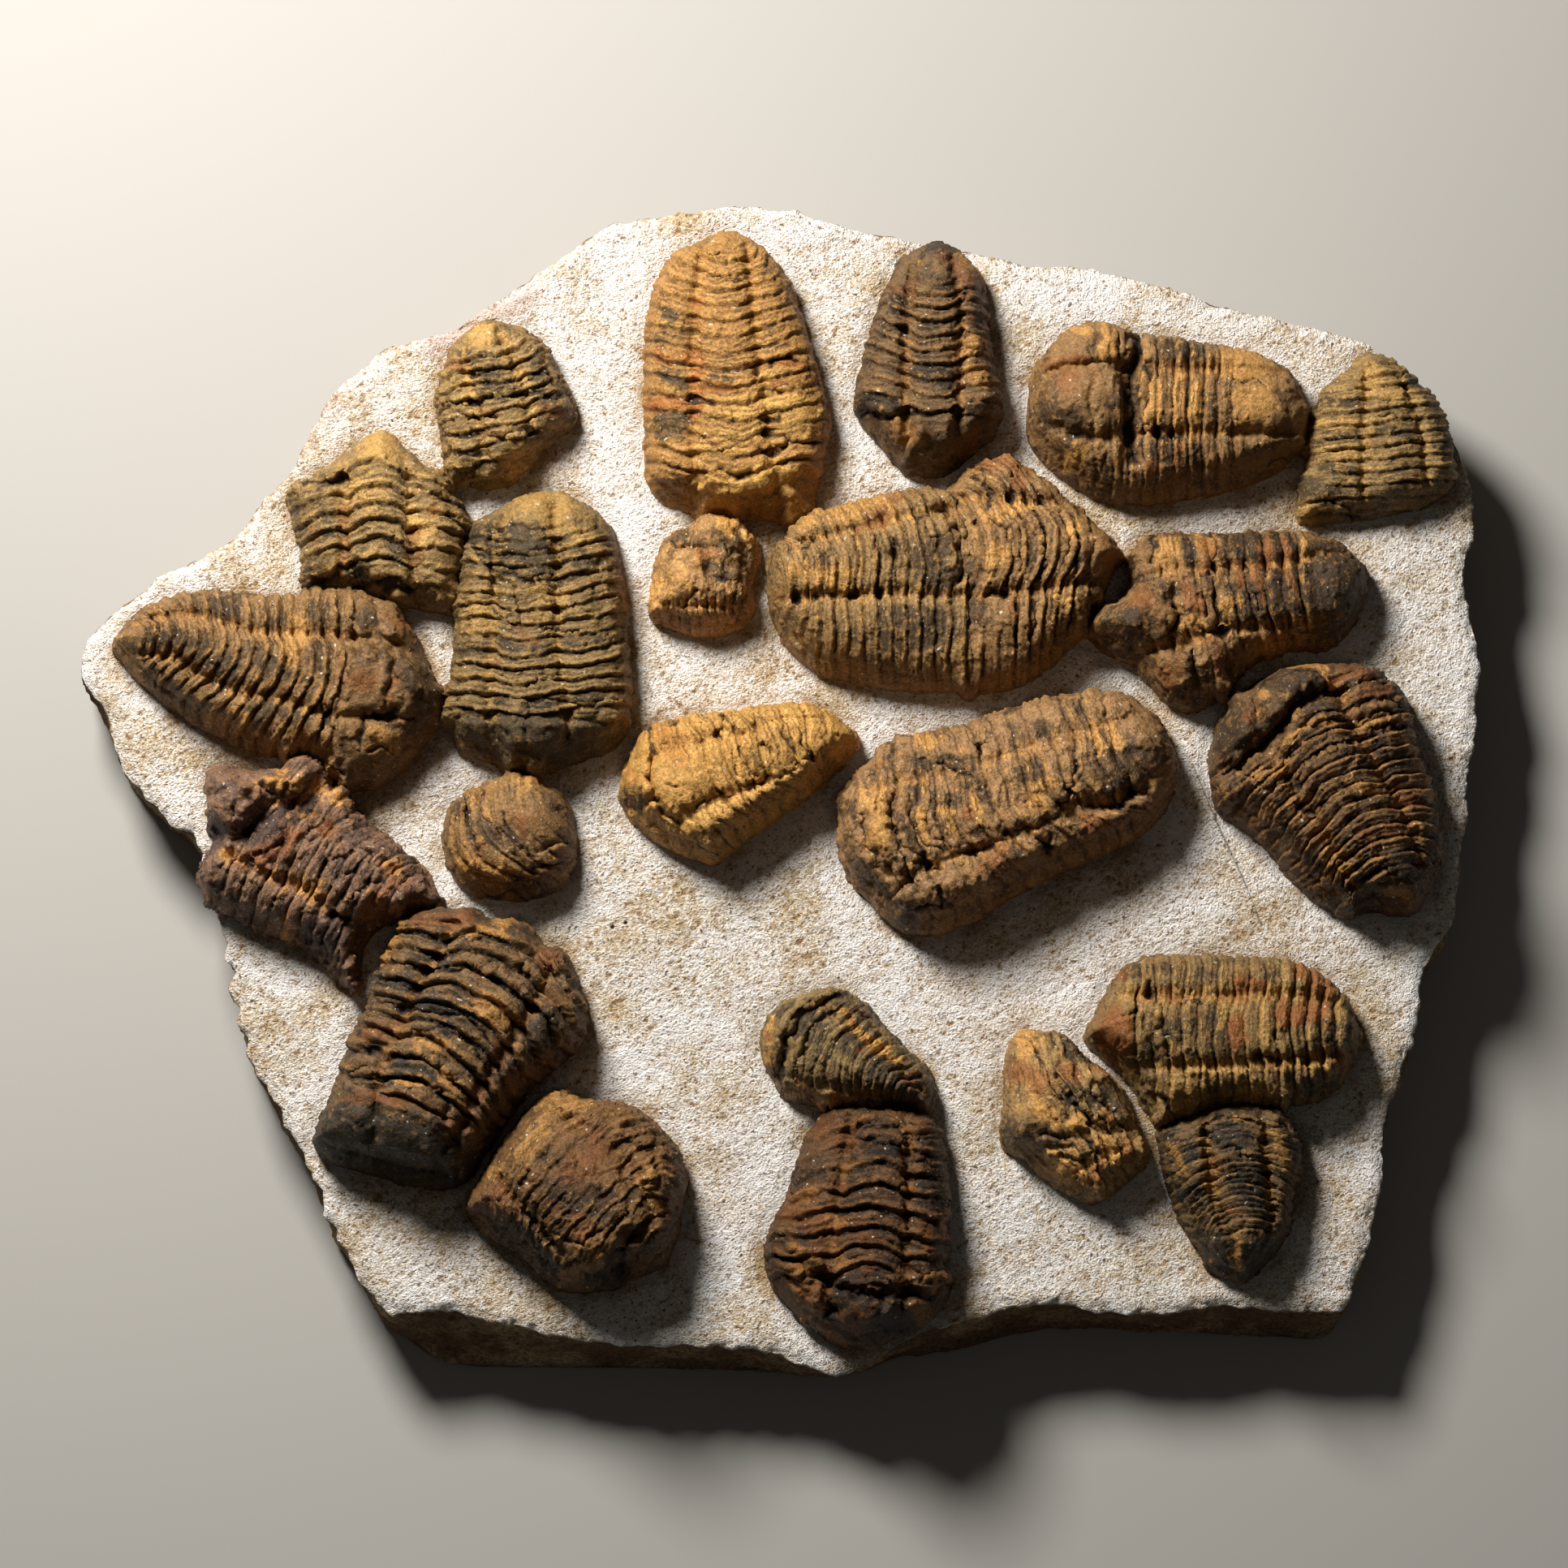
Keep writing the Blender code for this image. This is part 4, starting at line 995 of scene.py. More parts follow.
trilobite(
    "trilobite_09_tall_top", "ochre_fossil", {**OCHRE, "tone": 0.96, "ochre_share": 0.4},
    spine=(132.8, 234.5, 133.2, 215, 134, 195, 134.8, 176.5),
    furrows=((128.5, 230, 126.8, 215, 126.8, 185),
             (137.5, 230, 139, 215, 143.2, 183)),
    rings={"Ring Spacing": 4, "Ring Relief": 1.15, "Gap Depth": 0.4, "Raggedness": 5, "Laminae": 0.16,
           "Weathering": 1.2},
    bow=1.8, sweep=(2.6, 2.6),
    pit=[((139, 203.7, 139.4, 203.8), 0.8, 1.6), ((132.2, 176.4), 0.6, 1), ((144, 225), 0.4, 0.8),
        ((126.7, 227.2), 0.4, 0.8), ((135.4, 232), 0.45, 0.7)],
    crack=[((129.3, 229.1, 131.9, 229.3), 0.28, 0.7),
        ((129.6, 224.4, 132, 224.2, 134, 223.4, 137, 223.1), 0.3, 0.6),
        ((140.8, 200.6, 142.5, 200, 144.2, 199.4), 0.7, 1.3),
        ((140.4, 194.8, 142.5, 194.2, 144.4, 194.6), 0.6, 1.1),
        ((141, 192, 144.6, 191.2, 147, 190, 152.5, 191), 0.5, 1.1),
        ((142, 205.4, 143, 206.6, 146, 206.9, 149, 206.6), 0.6, 1.1),
        ((140, 187.8, 142.5, 186.6, 145.5, 190), 0.5, 1.1),
        ((128.3, 190.3, 132, 188.9, 138, 188.8), 0.35, 0.8),
        ((131.5, 184.5, 134, 183.2, 138.5, 183.4), 0.5, 1), ((126, 200, 128, 198, 131, 197), 0.5)],
    ridge=[((133, 178.6, 141, 178, 147, 181), 0.9, 1.4), ((117, 181.6, 122, 180, 127, 180), 0.9, 1.2),
        ((128, 185, 131, 181.8, 139, 181, 145, 186, 152, 189), 0.7, 0.8)],
    shelf=[((114, 185, 122, 183.5, 128, 184, 131, 181, 139, 180, 144, 184, 148, 185, 156, 187), 4, 4.5)],
    rubble=[((118, 180, 148, 180), 4, 0.35)],
    dark=[((121, 203.6, 125, 202.8), 1.6, 0.5), ((121, 191.5), 2.2, 0.5),
        ((119.5, 195, 124.5, 194.6), 1.6, 0.5), ((121, 211.5), 2.6, 0.35),
        ((130, 202.8, 134, 202.6), 1, 0.3), ((121.5, 216), 1.4)],
    ochre=[((130, 181, 146, 183), 2.5, 0.4), ((136, 197, 146, 197), 4, 0.3),
        ((132, 190, 150, 196), 4, 0.2)],
    rust=[((119, 208, 126, 208), 1.3), ((119, 197.5, 125, 198), 1.6, 0.35),
        ((127, 207.5, 127, 196), 1.2, 0.25), ((127, 201.4, 135, 201.3), 0.8), ((144, 206, 149, 206.4), 1),
        ((143, 201.4, 151, 202.4), 0.9, 0.25)],
)
trilobite(
    "trilobite_10_dark_top", "dark_fossil", DARK,
    spine=(176.5, 232, 175.8, 205, 176, 186),
    furrows=((171.2, 228, 170.3, 215, 169.8, 190),
             (180.2, 228, 181.2, 213, 180.6, 190)),
    rings={"Ring Spacing": 3.5, "Ring Relief": 1.8, "Furrow Depth": 1.5}, bow=2.2, sweep=(2.2, 0.4),
    shift=0.8, neck=36, tail_to=9,
    pit=[((173.5, 229.6, 174, 230.3), 0.35, 0.8), ((173.6, 228.6, 174.1, 229), 0.3, 0.8),
        ((173.6, 226.3), 0.3, 0.6), ((171, 218.8), 0.7), ((182.3, 220.7), 0.7), ((187.7, 206.5), 0.5, 0.9),
        ((176, 188.3), 0.5, 0.8)],
    crack=[((161, 197.6, 165, 195.6, 170, 196, 175, 194.6, 180, 196.6), 0.5, 1.1),
        ((162.5, 211.5, 164.5, 211.2, 166, 212.8, 168, 213.6, 170, 214), 0.35),
        ((182, 211.7, 186.5, 212), 0.5), ((182, 208.8, 186.5, 209.2), 0.5),
        ((182.5, 214.8, 187, 215.6), 0.6)],
    groove=[((170, 195, 169.6, 188), 0.9, 1.3), ((180.8, 196, 180.2, 188), 0.9, 1.3)],
    lump=[((172.8, 190.5), 1.5, 0.9), ((178, 190), 1.5, 0.7)],
    ridge=[((160, 199.5, 164, 197.6, 170, 197.2, 176, 196, 181, 197.6, 189, 200), 0.9, 1.3),
        ((182.3, 213, 186.5, 213.2),), ((182.3, 210, 186.5, 210.2), 0.8, 0.8),
        ((182.3, 207.6, 186.5, 208), 0.8, 0.8)],
    dark=[((176.8, 231.5), 2.6, 0.5), ((172, 204, 179, 202), 1.5), ((162, 199, 170, 197), 1.2, 0.5)],
    ochre=[((170, 191, 168, 194), 2, 0.3), ((183, 229, 185, 226),), ((184, 210), 2.2, 0.4),
        ((184, 205, 186, 203), 1.8, 0.3)],
    rust=[((178, 228.5, 186, 222), 1.6), ((167, 222, 171, 221), 1.2), ((184, 193, 183, 190),),
        ((183, 216), 1.2, 0.4)],
)

# The group at the upper left
# A tail broken off at its lower right, a thorax without its head, and a whole animal with its head
# down: lime mud that hardened in the shell, under a thin olive-brown film of what is left of it.
trilobite(
    "trilobite_01_small_upper_left", "brown_fossil",
    {**OLIVE, "tone": 1.05, "rust_share": 0.45, "patina_share": 0.5},
    spine=(81.5, 215.5, 85.5, 200, 89.5, 183),
    furrows=((78.5, 212, 81, 200, 83.5, 188),
             (87, 213, 92.5, 200, 93.5, 190)),
    rings={"Ring Spacing": 3.5, "Raggedness": 5.5, "Flaking": 0.6}, bow=0.3, sweep=(0.2, 0.6), shift=0.6,
    tail_to=6,
    pit=[((78.3, 192.5),), ((76, 192.6), 0.4), ((97.6, 193.6), 0.6), ((96, 197), 0.5, 0.8)],
    crack=[((75, 198.3, 82, 198.6, 88, 199.6, 94, 201.4), 0.3), ((81, 203.3, 85, 205.2, 88, 205.6),),
        ((92.5, 204, 96, 204.8),), ((78, 196, 86, 195.4), 0.5),
        ((84.5, 191.8, 90, 191.8, 94, 193), 0.7, 1.2), ((75.5, 192.4, 82, 191.4), 0.5),
        ((77, 188.6, 86, 187), 0.5), ((94, 200.6, 98, 199.6), 0.5)],
    lump=[((98, 197.5), 2.2, 0.7)],
    ridge=[((99, 197, 94, 191.6, 89, 188), 0.9, 0.8)],
    shelf=[((76, 180, 87, 183.5, 92, 186.5, 97, 191.5, 104, 197), 3.5)],
    dark=[((79, 208),), ((85, 203.5), 2.4, 0.3), ((95, 204), 1.8)],
    ochre=[((83, 213), 2.6, 0.4), ((90, 187), 3, 0.3)],
    rust=[((85, 192.6, 88, 192), 1.1, 0.4), ((83, 196.3, 86, 196.4), 1.1, 0.4), ((76, 207, 80, 205.4),),
        ((95, 197, 98, 196), 1.6, 0.35)],
)
trilobite(
    "trilobite_02_headless_left", "brown_fossil", {**OLIVE, "tone": 1.0},
    spine=(61.7, 193, 62, 175, 62.5, 159),
    furrows=((55.5, 188, 55, 175, 54.6, 160),
             (68, 188, 69, 175, 69.5, 160)),
    rings={"Ring Spacing": 3.9, "Ring Relief": 1.7, "Furrow Depth": 1.5}, bow=-2.6, sweep=(-2, -2),
    shift=1.2, tail_to=8.5, crowding=0.1,
    pit=[((55, 181.5),)],
    crack=[((46, 181.8, 50, 181.6, 53.5, 181, 55, 183, 58, 184.6), 0.6, 1.3),
        ((69, 181, 72, 180.2, 75.5, 178.8, 79, 177), 0.7, 1.5), ((76, 175.2, 79, 172.8), 0.5),
        ((57.5, 163.8, 63, 162, 69, 159.4), 1, 1.8), ((66, 170.6, 69.4, 168.5), 0.35),
        ((47, 161.8, 53, 162.4), 0.6, 1.2), ((55.5, 164, 59.5, 161.5), 0.5, 1.2)],
    ridge=[((44.5, 182.5, 48, 184.6, 54, 184, 57, 186.6, 62, 187, 66, 185.2, 70, 185.2, 75, 182.5, 78.5,
         178), 1.1, 1.4), ((57, 166.4, 62, 167.6, 66, 165.6, 69, 163.4), 0.6, 0.7)],
    shelf=[((44, 160.5, 60, 160.2, 70, 158.2, 82, 160),)],
    rubble=[((71, 163, 76, 160), 3)],
    worn=[((72.5, 172), 2.6, 0.8)],
    dark=[((50, 171.8, 53, 171), 1), ((66, 169, 69, 167), 2, 0.3), ((48, 162), 3, 0.5),
        ((58, 162.4), 2, 0.5)],
    ochre=[((62, 190), 4.5, 0.35), ((60, 180), 4, 0.25), ((71, 172.5), 2.5, 0.4)],
    rust=[((55, 176, 55, 166), 1.5), ((50, 174, 50, 169), 2.2, 0.25), ((69.5, 172, 70, 164), 1.3),
        ((73, 175.8), 1.4, 0.5)],
)
trilobite(
    "trilobite_03_tall_left", "brown_fossil", {**OLIVE, "tone": 0.8},
    spine=(94, 180.5, 94, 150, 93.2, 124),
    furrows=((88, 176, 86, 160, 85.3, 150, 85, 130),
             (98.2, 176, 98.6, 165, 98.6, 150, 101.5, 130)),
    rings={"Ring Spacing": 3.4, "Ring Relief": 1.5, "Laminae": 0.4, "Raggedness": 5.6}, bow=1,
    sweep=(1, 2.6), neck=47, tail_to=8.5, crowding=0.3,
    pit=[((88.4, 166, 89.3, 166),), ((92, 165.9, 93, 166), 0.45, 1.1), ((87.6, 141.8), 0.4),
        ((78.8, 136.4), 0.4), ((92.5, 139.8), 0.4)],
    crack=[((87.5, 172.3, 91, 172.5, 96, 171.6), 0.5), ((87, 167.4, 92, 166.8, 98, 168), 0.5),
        ((86.5, 163, 92, 161.6, 98, 163), 0.6), ((90.5, 160.2, 90.6, 156, 91, 152.4), 0.35),
        ((92.7, 139.5, 92.6, 133, 93, 127), 0.3, 0.8), ((96.8, 150.6, 101, 151.8, 103, 151.2), 0.3),
        ((93, 140, 96, 141.6, 101, 141.8), 0.3), ((93, 136.6, 98, 136.4, 105, 136.8, 112, 137.6),),
        ((99, 155.5, 102, 156.4),), ((85.5, 155.5, 90, 152),)],
    groove=[((98.8, 170, 98.8, 164.5), 0.5, 1.4), ((85.5, 173, 85.5, 160), 1, 1),
        ((80.5, 171, 83, 165.5, 88, 161, 94, 159.6, 101, 160.6, 107, 164, 109.5, 169), 0.8, 0.9),
        ((85.5, 134, 90, 132.6, 93, 132.2, 97, 132.8, 103, 134.4), 0.7, 0.8),
        ((88, 131, 90.5, 128, 94, 125.5), 0.7, 0.8)],
    lump=[((92.5, 168.5), 4.5, 0.8)],
    ridge=[((86.5, 157.6, 90.4, 153.8), 0.8, 0.7)],
    dark=[((87, 168, 97, 167), 3.5, 0.6), ((83, 170), 2.5, 0.5), ((104, 166), 2.4),
        ((80, 147, 108, 148), 1.5, 0.25), ((85, 131, 101, 130), 5, 0.45), ((98, 162), 2.4)],
    ochre=[((94, 178, 98, 176), 4, 0.4), ((97, 158), 3.4, 0.3), ((82, 155), 3.5, 0.3),
        ((103, 171), 2.4, 0.3)],
    rust=[((91, 151, 95, 148), 1.6), ((94, 154), 1.6), ((87, 144), 1.4, 0.25)],
)

# The two at the far left
# A long whole animal with its head to the right, and a dark one that slants down and hangs over the
# plate's edge. Their shells cracked across when the mud around them settled.
trilobite(
    "trilobite_04_long_far_left", "brown_fossil", {**BROWN, "tone": 0.85},
    spine=(7.5, 150, 18, 150.6, 30, 147.8, 43, 145, 56, 143, 74, 139.5),
    furrows=((9, 147, 20, 146, 25, 143, 33, 139, 42, 137.5, 52, 134),
             (12, 153, 21, 154.5, 29, 153.5, 36, 151, 57, 150)),
    rings={"Ring Spacing": 3.3, "Ring Relief": 1.7, "Laminae": 0.4}, bow=2.6, sweep=(3, 2), neck=49,
    tail_to=6, crowding=0.2,
    crack=[((61, 134, 64, 133.6, 66.5, 135), 1, 1.6), ((59.4, 134.5, 59.6, 128.5), 0.45),
        ((52.6, 136, 52.4, 131), 0.5), ((45, 125.6, 50, 126, 52.5, 123.6, 55, 122.6), 0.5, 1.1),
        ((50.5, 129, 51.6, 133, 51, 137), 0.6, 1.1), ((61, 127, 65, 126.5),)],
    groove=[((9, 147.5, 14, 146.6, 20, 146.4, 25, 143.5, 28, 140.8), 0.9),
        ((55.5, 158, 56.6, 150, 56.4, 143, 55.3, 136.8),), ((65.6, 149, 66, 143, 64, 136), 0.9, 1),
        ((61.8, 158, 62.3, 152), 0.9, 1), ((60, 149.6, 66, 149.8, 70, 147), 0.8, 1.1)],
    lump=[((70.5, 141), 4, 1.3), ((66, 154.5), 4), ((60, 143),), ((56, 131.5), 3.6, 1.2)],
    ridge=[((61.5, 149.5, 64, 146.5, 64.3, 142, 62, 137),)],
    shelf=[((68, 128, 71, 134, 76, 139), 2.5, 2.5)],
    rubble=[((46, 155, 47, 147, 48, 140),), ((62, 129.5), 3.5, 0.6), ((48, 127, 53, 124), 3, 0.7),
        ((20, 141, 16, 138), 2.5, 0.3)],
    dark=[((17, 149.5, 26, 148),), ((31, 143), 3), ((26, 156, 33, 156.5), 1.8, 0.35), ((37, 146, 42, 143),),
        ((51, 143, 50, 155), 1.8, 0.3), ((59.5, 153.5), 1.7, 0.5), ((39, 135, 47, 134), 2.6, 0.35),
        ((67, 144, 72, 138), 2.6)],
    ochre=[((46, 152, 45, 146), 2.5, 0.35), ((48, 125), 3.5, 0.4), ((64, 129), 3, 0.35),
        ((29, 133.5, 35, 133), 1.8, 0.35), ((10, 148), 2.6, 0.35), ((12, 142), 3, 0.3)],
    rust=[((59, 141), 3, 0.35), ((65.5, 141, 65.5, 138), 1.2, 0.4), ((66, 154), 2.5, 0.35), ((52, 137),)],
)
trilobite(
    "trilobite_05_slanted_left", "dark_fossil",
    {**DARK, "shell": "6F5440", "patina": "3A2C26", "rust_share": 0.5, "ochre_share": 0.3, "tone": 1.4},
    spine=(73, 92, 60, 100, 48, 107, 38, 113, 30, 119),
    furrows=((62, 86, 54, 93, 47, 98.5, 40, 101, 33, 105),
             (70, 100, 63, 104, 55, 108.5, 48, 114, 42, 117)),
    rings={"Ring Spacing": 3.7, "Ring Relief": 1.6, "Furrow Depth": 1.4, "Flaking": 0.6, "Weathering": 0.8,
           "Raggedness": 3},
    bow=0.6, sweep=(0.6, 1.6), neck=41, swell=(0.75, 0.95, 1, 1),
    crack=[((29.5, 117.6, 31.5, 119), 0.5), ((33, 113, 34, 115.5),),
        ((51.5, 102, 54, 104.8, 58.5, 106), 0.5), ((56, 101.6, 60, 103.2),), ((60.5, 103, 62.6, 106.6),),
        ((57, 96.6, 59.5, 99, 63, 100.2), 0.5), ((36, 103.4, 40, 106.4), 0.5),
        ((41, 107.2, 43.4, 108.4), 0.5, 1.2), ((53.5, 92.6, 56.5, 92.4), 0.8, 1.4),
        ((47.5, 86, 48, 90), 0.5), ((51, 84, 51.6, 88.6), 0.5, 1.1), ((54.2, 82, 54.8, 87), 0.5, 1.1),
        ((57.6, 81, 57.4, 86), 0.5, 1.1)],
    groove=[((36.5, 110.5, 40, 113.5, 44, 115.4, 49, 117), 3, 4),
        ((29, 109.4, 33, 109.2, 37, 109.8), 1.2, 3), ((34.5, 104, 38, 105, 42, 104), 0.9, 1.3),
        ((66, 94.5, 71, 94), 1, 1.6)],
    lump=[((31, 117), 6.5, 2.2), ((29, 103), 4, 1.4)],
    ridge=[((36, 119.4, 41, 120.6, 46.5, 121, 49.6, 123), 1.3, 2.2),
        ((41.5, 102, 45, 107, 48, 111), 0.8, 1), ((37.5, 104.5, 43, 110.5), 0.8, 1)],
    rubble=[((49, 95, 57, 92), 2.6, 0.4), ((47, 88, 55, 85), 2.5, 0.4)],
    worn=[((31, 117, 40, 121), 6), ((56, 108, 62, 107.5), 4, 0.8), ((71, 97.5), 4, 0.9)],
    dark=[((41, 113, 47, 117), 3, 0.7), ((38, 108), 2.5, 0.5), ((58, 88, 50, 90), 3, 0.3),
        ((27.5, 112, 28.5, 109), 2)],
    ochre=[((33, 117, 42, 121), 5, 0.08), ((38, 119.4, 46, 120.6), 1.5, 0.25), ((42, 123), 2.8, 0.2),
        ((32, 105.4), 2, 0.35), ((47, 100, 50, 97), 2, 0.25), ((43.5, 90.5), 2.2, 0.3),
        ((66, 102.5), 1.6, 0.3), ((50, 119, 55, 116.5), 2, 0.25)],
    rust=[((39, 105, 46, 109), 2.5, 0.4), ((53, 110.5), 2.2, 0.35), ((62, 96.5, 66, 99), 1.8)],
)

# The three at the lower left
# The broadest and highest fossil with stacked rings that stand a little open, one half rolled up,
# and a small one rolled up, as living animals did: the rings fan out on the outside of the bend.
trilobite(
    "trilobite_06_broad_lower_left", "dark_fossil", {**DARK, "patina": "2F2A22", "tone": 1.0},
    spine=(84, 94, 80, 80, 75, 68, 70, 58, 65, 44),
    furrows=((77, 87, 72, 80, 69, 74, 65, 66, 63, 57, 62, 48),
             (97, 80, 92.5, 71, 88, 64, 84, 58, 79.5, 48)),
    rings={"Ring Spacing": 4.3, "Ring Relief": 2, "Gap Depth": 1.6, "Raggedness": 3.2, "Laminae": 0.45,
           "Furrow Depth": 1.4},
    bow=-3.4, sweep=(-1, -3.6), shift=0.5, neck=42, tail_to=4, crowding=0.1,
    pit=[((61.6, 66, 63, 67), 1.6, 2.2)],
    crack=[((67, 89.6, 72, 89, 76, 87.2, 80, 87.5, 86, 88.2, 90, 86, 93, 80.5), 0.4, 1.2),
        ((70, 87.4, 73, 85.4, 76, 84, 82, 84, 87, 82.6, 91, 79), 0.35, 1.1),
        ((66, 84, 69.5, 82.8, 71, 81.4, 75, 81.2, 82, 81.8, 87, 79.4, 90, 76), 0.5, 1.3),
        ((62.5, 79.6, 66, 80, 69, 77.6, 71, 77.6), 0.45, 1.1),
        ((63, 76, 66, 75.4, 68, 73.8, 77, 73, 82, 71.4, 86, 67), 0.45, 1.3),
        ((70, 69.4, 76, 70, 81, 67.6, 84.5, 62.5), 0.4, 1.2),
        ((66, 64, 72, 63.7, 76, 62, 80, 57.6), 0.5, 1.3),
        ((58, 61.4, 61, 62, 64, 60.2, 70, 60, 75, 58, 78, 53), 0.5, 1.4),
        ((90, 76.6, 94, 73.4, 97, 71.6), 0.5, 1.2), ((88, 69.4, 93, 65.4, 96, 64.6),)],
    groove=[((94, 88, 96, 82, 99, 79), 1.4, 1.6), ((68, 90.4, 78, 88.6), 0.8, 0.8),
        ((76.5, 55, 77, 50, 79, 46), 0.9, 1.4)],
    ridge=[((100, 86, 103, 78, 102.6, 70), 1.6, 1.2), ((66, 91.6, 76, 93.4, 84, 92), 1.8, 1.6),
        ((70.5, 57, 74, 54, 75, 49.5), 0.6, 0.7)],
    shelf=[((52, 47, 62, 46.6, 72, 45, 80, 43, 84, 41), 3, 5.5)],
    worn=[((60, 50), 5, 0.8)],
    dark=[((54, 48, 66, 46, 78, 43), 4, 0.6), ((70, 83, 77, 83), 1.6, 0.5), ((64, 80, 70, 79), 1.6),
        ((70, 75.4, 82, 73), 1.3), ((68, 61.6, 76, 60), 1, 0.5), ((94, 69, 97, 72), 2)],
    ochre=[((71, 66.8, 76, 66), 1, 0.6), ((67, 58.8, 73, 58.8), 0.7, 0.6), ((76, 60.6, 79, 57.8), 1.1, 0.6),
        ((84, 75, 88, 71.6), 2, 0.4), ((62, 85, 66, 89.4), 2.2), ((88, 92), 1.4),
        ((82, 89.6, 88, 89), 1.2, 0.3)],
    rust=[((70, 92.6, 80, 92), 1.8, 0.5), ((94, 74, 92, 71), 1.3, 0.5), ((97, 84), 2, 0.5),
        ((88, 67, 87, 62.4), 1.2, 0.5), ((84, 58.6, 81, 54), 1.3, 0.5), ((57, 56, 70, 55), 1.6, 0.35),
        ((62, 69), 3), ((79, 50), 2.2, 0.35), ((98, 76), 1.6, 0.45)],
)
trilobite(
    "trilobite_07_rolled_bottom_left", "brown_fossil",
    {**BROWN, "shell": "8A6338", "patina": "44321C", "tone": 0.66, "rust_share": 0.65},
    spine=(88, 48, 100, 38.5, 116, 24),
    furrows=((86, 40, 96, 29, 104, 19),
             (98, 54, 110, 46, 120, 34)),
    rings={"Ring Spacing": 3.4, "Ring Relief": 1.25, "Gap Depth": 0.45, "Laminae": 0.45, "Raggedness": 7},
    bow=-1.5, sweep=(-1.5, -4), tail_to=2,
    crack=[((111.6, 20, 112.8, 25, 115, 28.4), 0.9, 2), ((92.6, 38, 93.2, 40.5), 0.6, 1.2),
        ((90.5, 33, 92, 28), 0.5), ((93.5, 33, 95, 26), 0.5), ((96.5, 29, 99, 24.5), 0.5),
        ((97, 23.6, 101, 22, 105, 23.6), 0.5), ((99, 27.6, 104, 27, 108, 29), 0.5)],
    groove=[((112.5, 42, 115, 36, 111.5, 30), 1, 1.3), ((111, 22, 113, 27, 118, 32.5), 1.2, 2.2),
        ((113, 47, 118, 44, 119.4, 41), 0.9)],
    ridge=[((114, 33, 118, 38, 118.6, 42), 1.2, 1.4), ((112, 28.5, 118, 33, 121.6, 39), 1.2, 1.4),
        ((113.6, 24, 119, 28, 122.6, 34), 1.2, 1.2)],
    rubble=[((104, 44), 5, 0.3), ((103, 38), 4.5, 0.45), ((86, 36), 3.5, 0.4)],
    worn=[((104, 44), 6, 0.7), ((106, 42), 5, 0.9)],
    dark=[((101, 37, 104, 35), 3, 0.5), ((94, 33), 2.4), ((95, 45), 2.6, 0.3), ((114, 36), 2),
        ((88, 30, 98, 21), 2.5, 0.5), ((109, 20), 3, 0.6)],
    ochre=[((117, 37, 118.4, 41), 1.1, 0.45), ((120, 34), 1.6, 0.4), ((93, 44, 96, 50), 1.6, 0.3),
        ((101, 20.4, 107, 24), 1.8, 0.4), ((97, 55, 104, 55), 2.4, 0.3), ((86, 41), 1.8, 0.4)],
    rust=[((107, 45, 103, 41), 3.2, 0.35), ((87, 36), 2.6), ((104, 30), 2.2, 0.35)],
)
trilobite(
    "trilobite_08_small_rolled", "brown_fossil",
    {**BROWN, "tone": 0.9, "patina": "5A4630", "patina_share": 0.34},
    spine=(77, 102, 86, 109, 98, 117),
    furrows=((85, 99, 97, 103),
             (77.5, 112, 86, 120.5)),
    rings={"Ring Spacing": 3.7, "Ring Relief": 1.25, "Furrow Depth": 0.3, "Laminae": 0.2, "Raggedness": 3,
           "Weathering": 1},
    bow=-3.6, sweep=(-3.5, -3.5), tail_to=2, crowding=0.1,
    crack=[((83.5, 119.5, 84, 114, 87, 109),), ((80, 117.6, 80, 112, 83, 106.5),),
        ((87.4, 113.6, 90, 108, 94, 104.6),), ((84, 98, 90, 98, 96, 97.6), 0.7, 1.4),
        ((93, 102.6, 100, 104),), ((94.5, 106.4, 101.5, 108.6),)],
    groove=[((90, 111, 94, 107, 100, 108.6), 0.8, 0.7)],
    lump=[((94.5, 114), 5, 0.8)],
    worn=[((95, 114), 5.5)],
    dark=[((82, 112, 90, 108), 2, 0.35), ((79, 115), 2, 0.35), ((90, 98.6, 97, 98.6), 1.6, 0.5),
        ((98, 117), 2.5, 0.2)],
    ochre=[((86, 103, 80, 104), 2, 0.3), ((93, 120), 2.5, 0.25)],
    rust=[((92, 112), 3, 0.25), ((83, 106), 2, 0.25)],
)

# The curled fragment and the pair beside it
# A piece of thorax, broken at both ends, and two whole shells that lie end to end. The pair has
# grown together in the lime mud that filled both.
trilobite(
    "trilobite_11_curled_fragment", "brown_fossil",
    {**BROWN, "rust_share": 0.55, "patina_share": 0.45, "tone": 1.45},
    spine=(139, 161, 130, 162, 118, 163),
    furrows=((137, 156, 122, 157),
             (137, 167, 122, 169)),
    rings={"Ring Spacing": 2.3, "Weathering": 2.6}, bow=0.6, sweep=(0.6, 0.6), tail_to=0,
    pit=[((131, 163, 134, 161.6), 0.7)],
    crack=[((132.8, 169.4, 133.6, 166.8),), ((121.8, 170.4, 123.6, 168.6, 126, 169.2),),
        ((124.5, 156.4, 127, 160),)],
    groove=[((128, 169, 130, 165.6, 130.6, 161.5), 0.9, 1.3),
        ((134, 174, 136.6, 170, 136.8, 164), 1.2, 1.6), ((122, 171, 127, 173), 1.2, 1)],
    lump=[((125, 164), 5.5, 1.6)],
    ridge=[((137.5, 174.4, 138.8, 170, 138.4, 165),)],
    rubble=[((133, 165), 4.5, 0.8), ((134, 170), 3.5)],
    worn=[((124.5, 164), 6), ((131, 171),)],
    dark=[((123, 170), 2, 0.5), ((132, 164, 135, 163), 2.4, 0.5), ((133, 170), 3),
        ((131, 158, 135, 158), 1.2, 0.3)],
    ochre=[((124, 163), 5, 0.15), ((138, 172), 1.4, 0.6), ((133, 174), 2), ((118, 160), 3, 0.3)],
    rust=[((129, 167), 2.5, 0.25)],
)
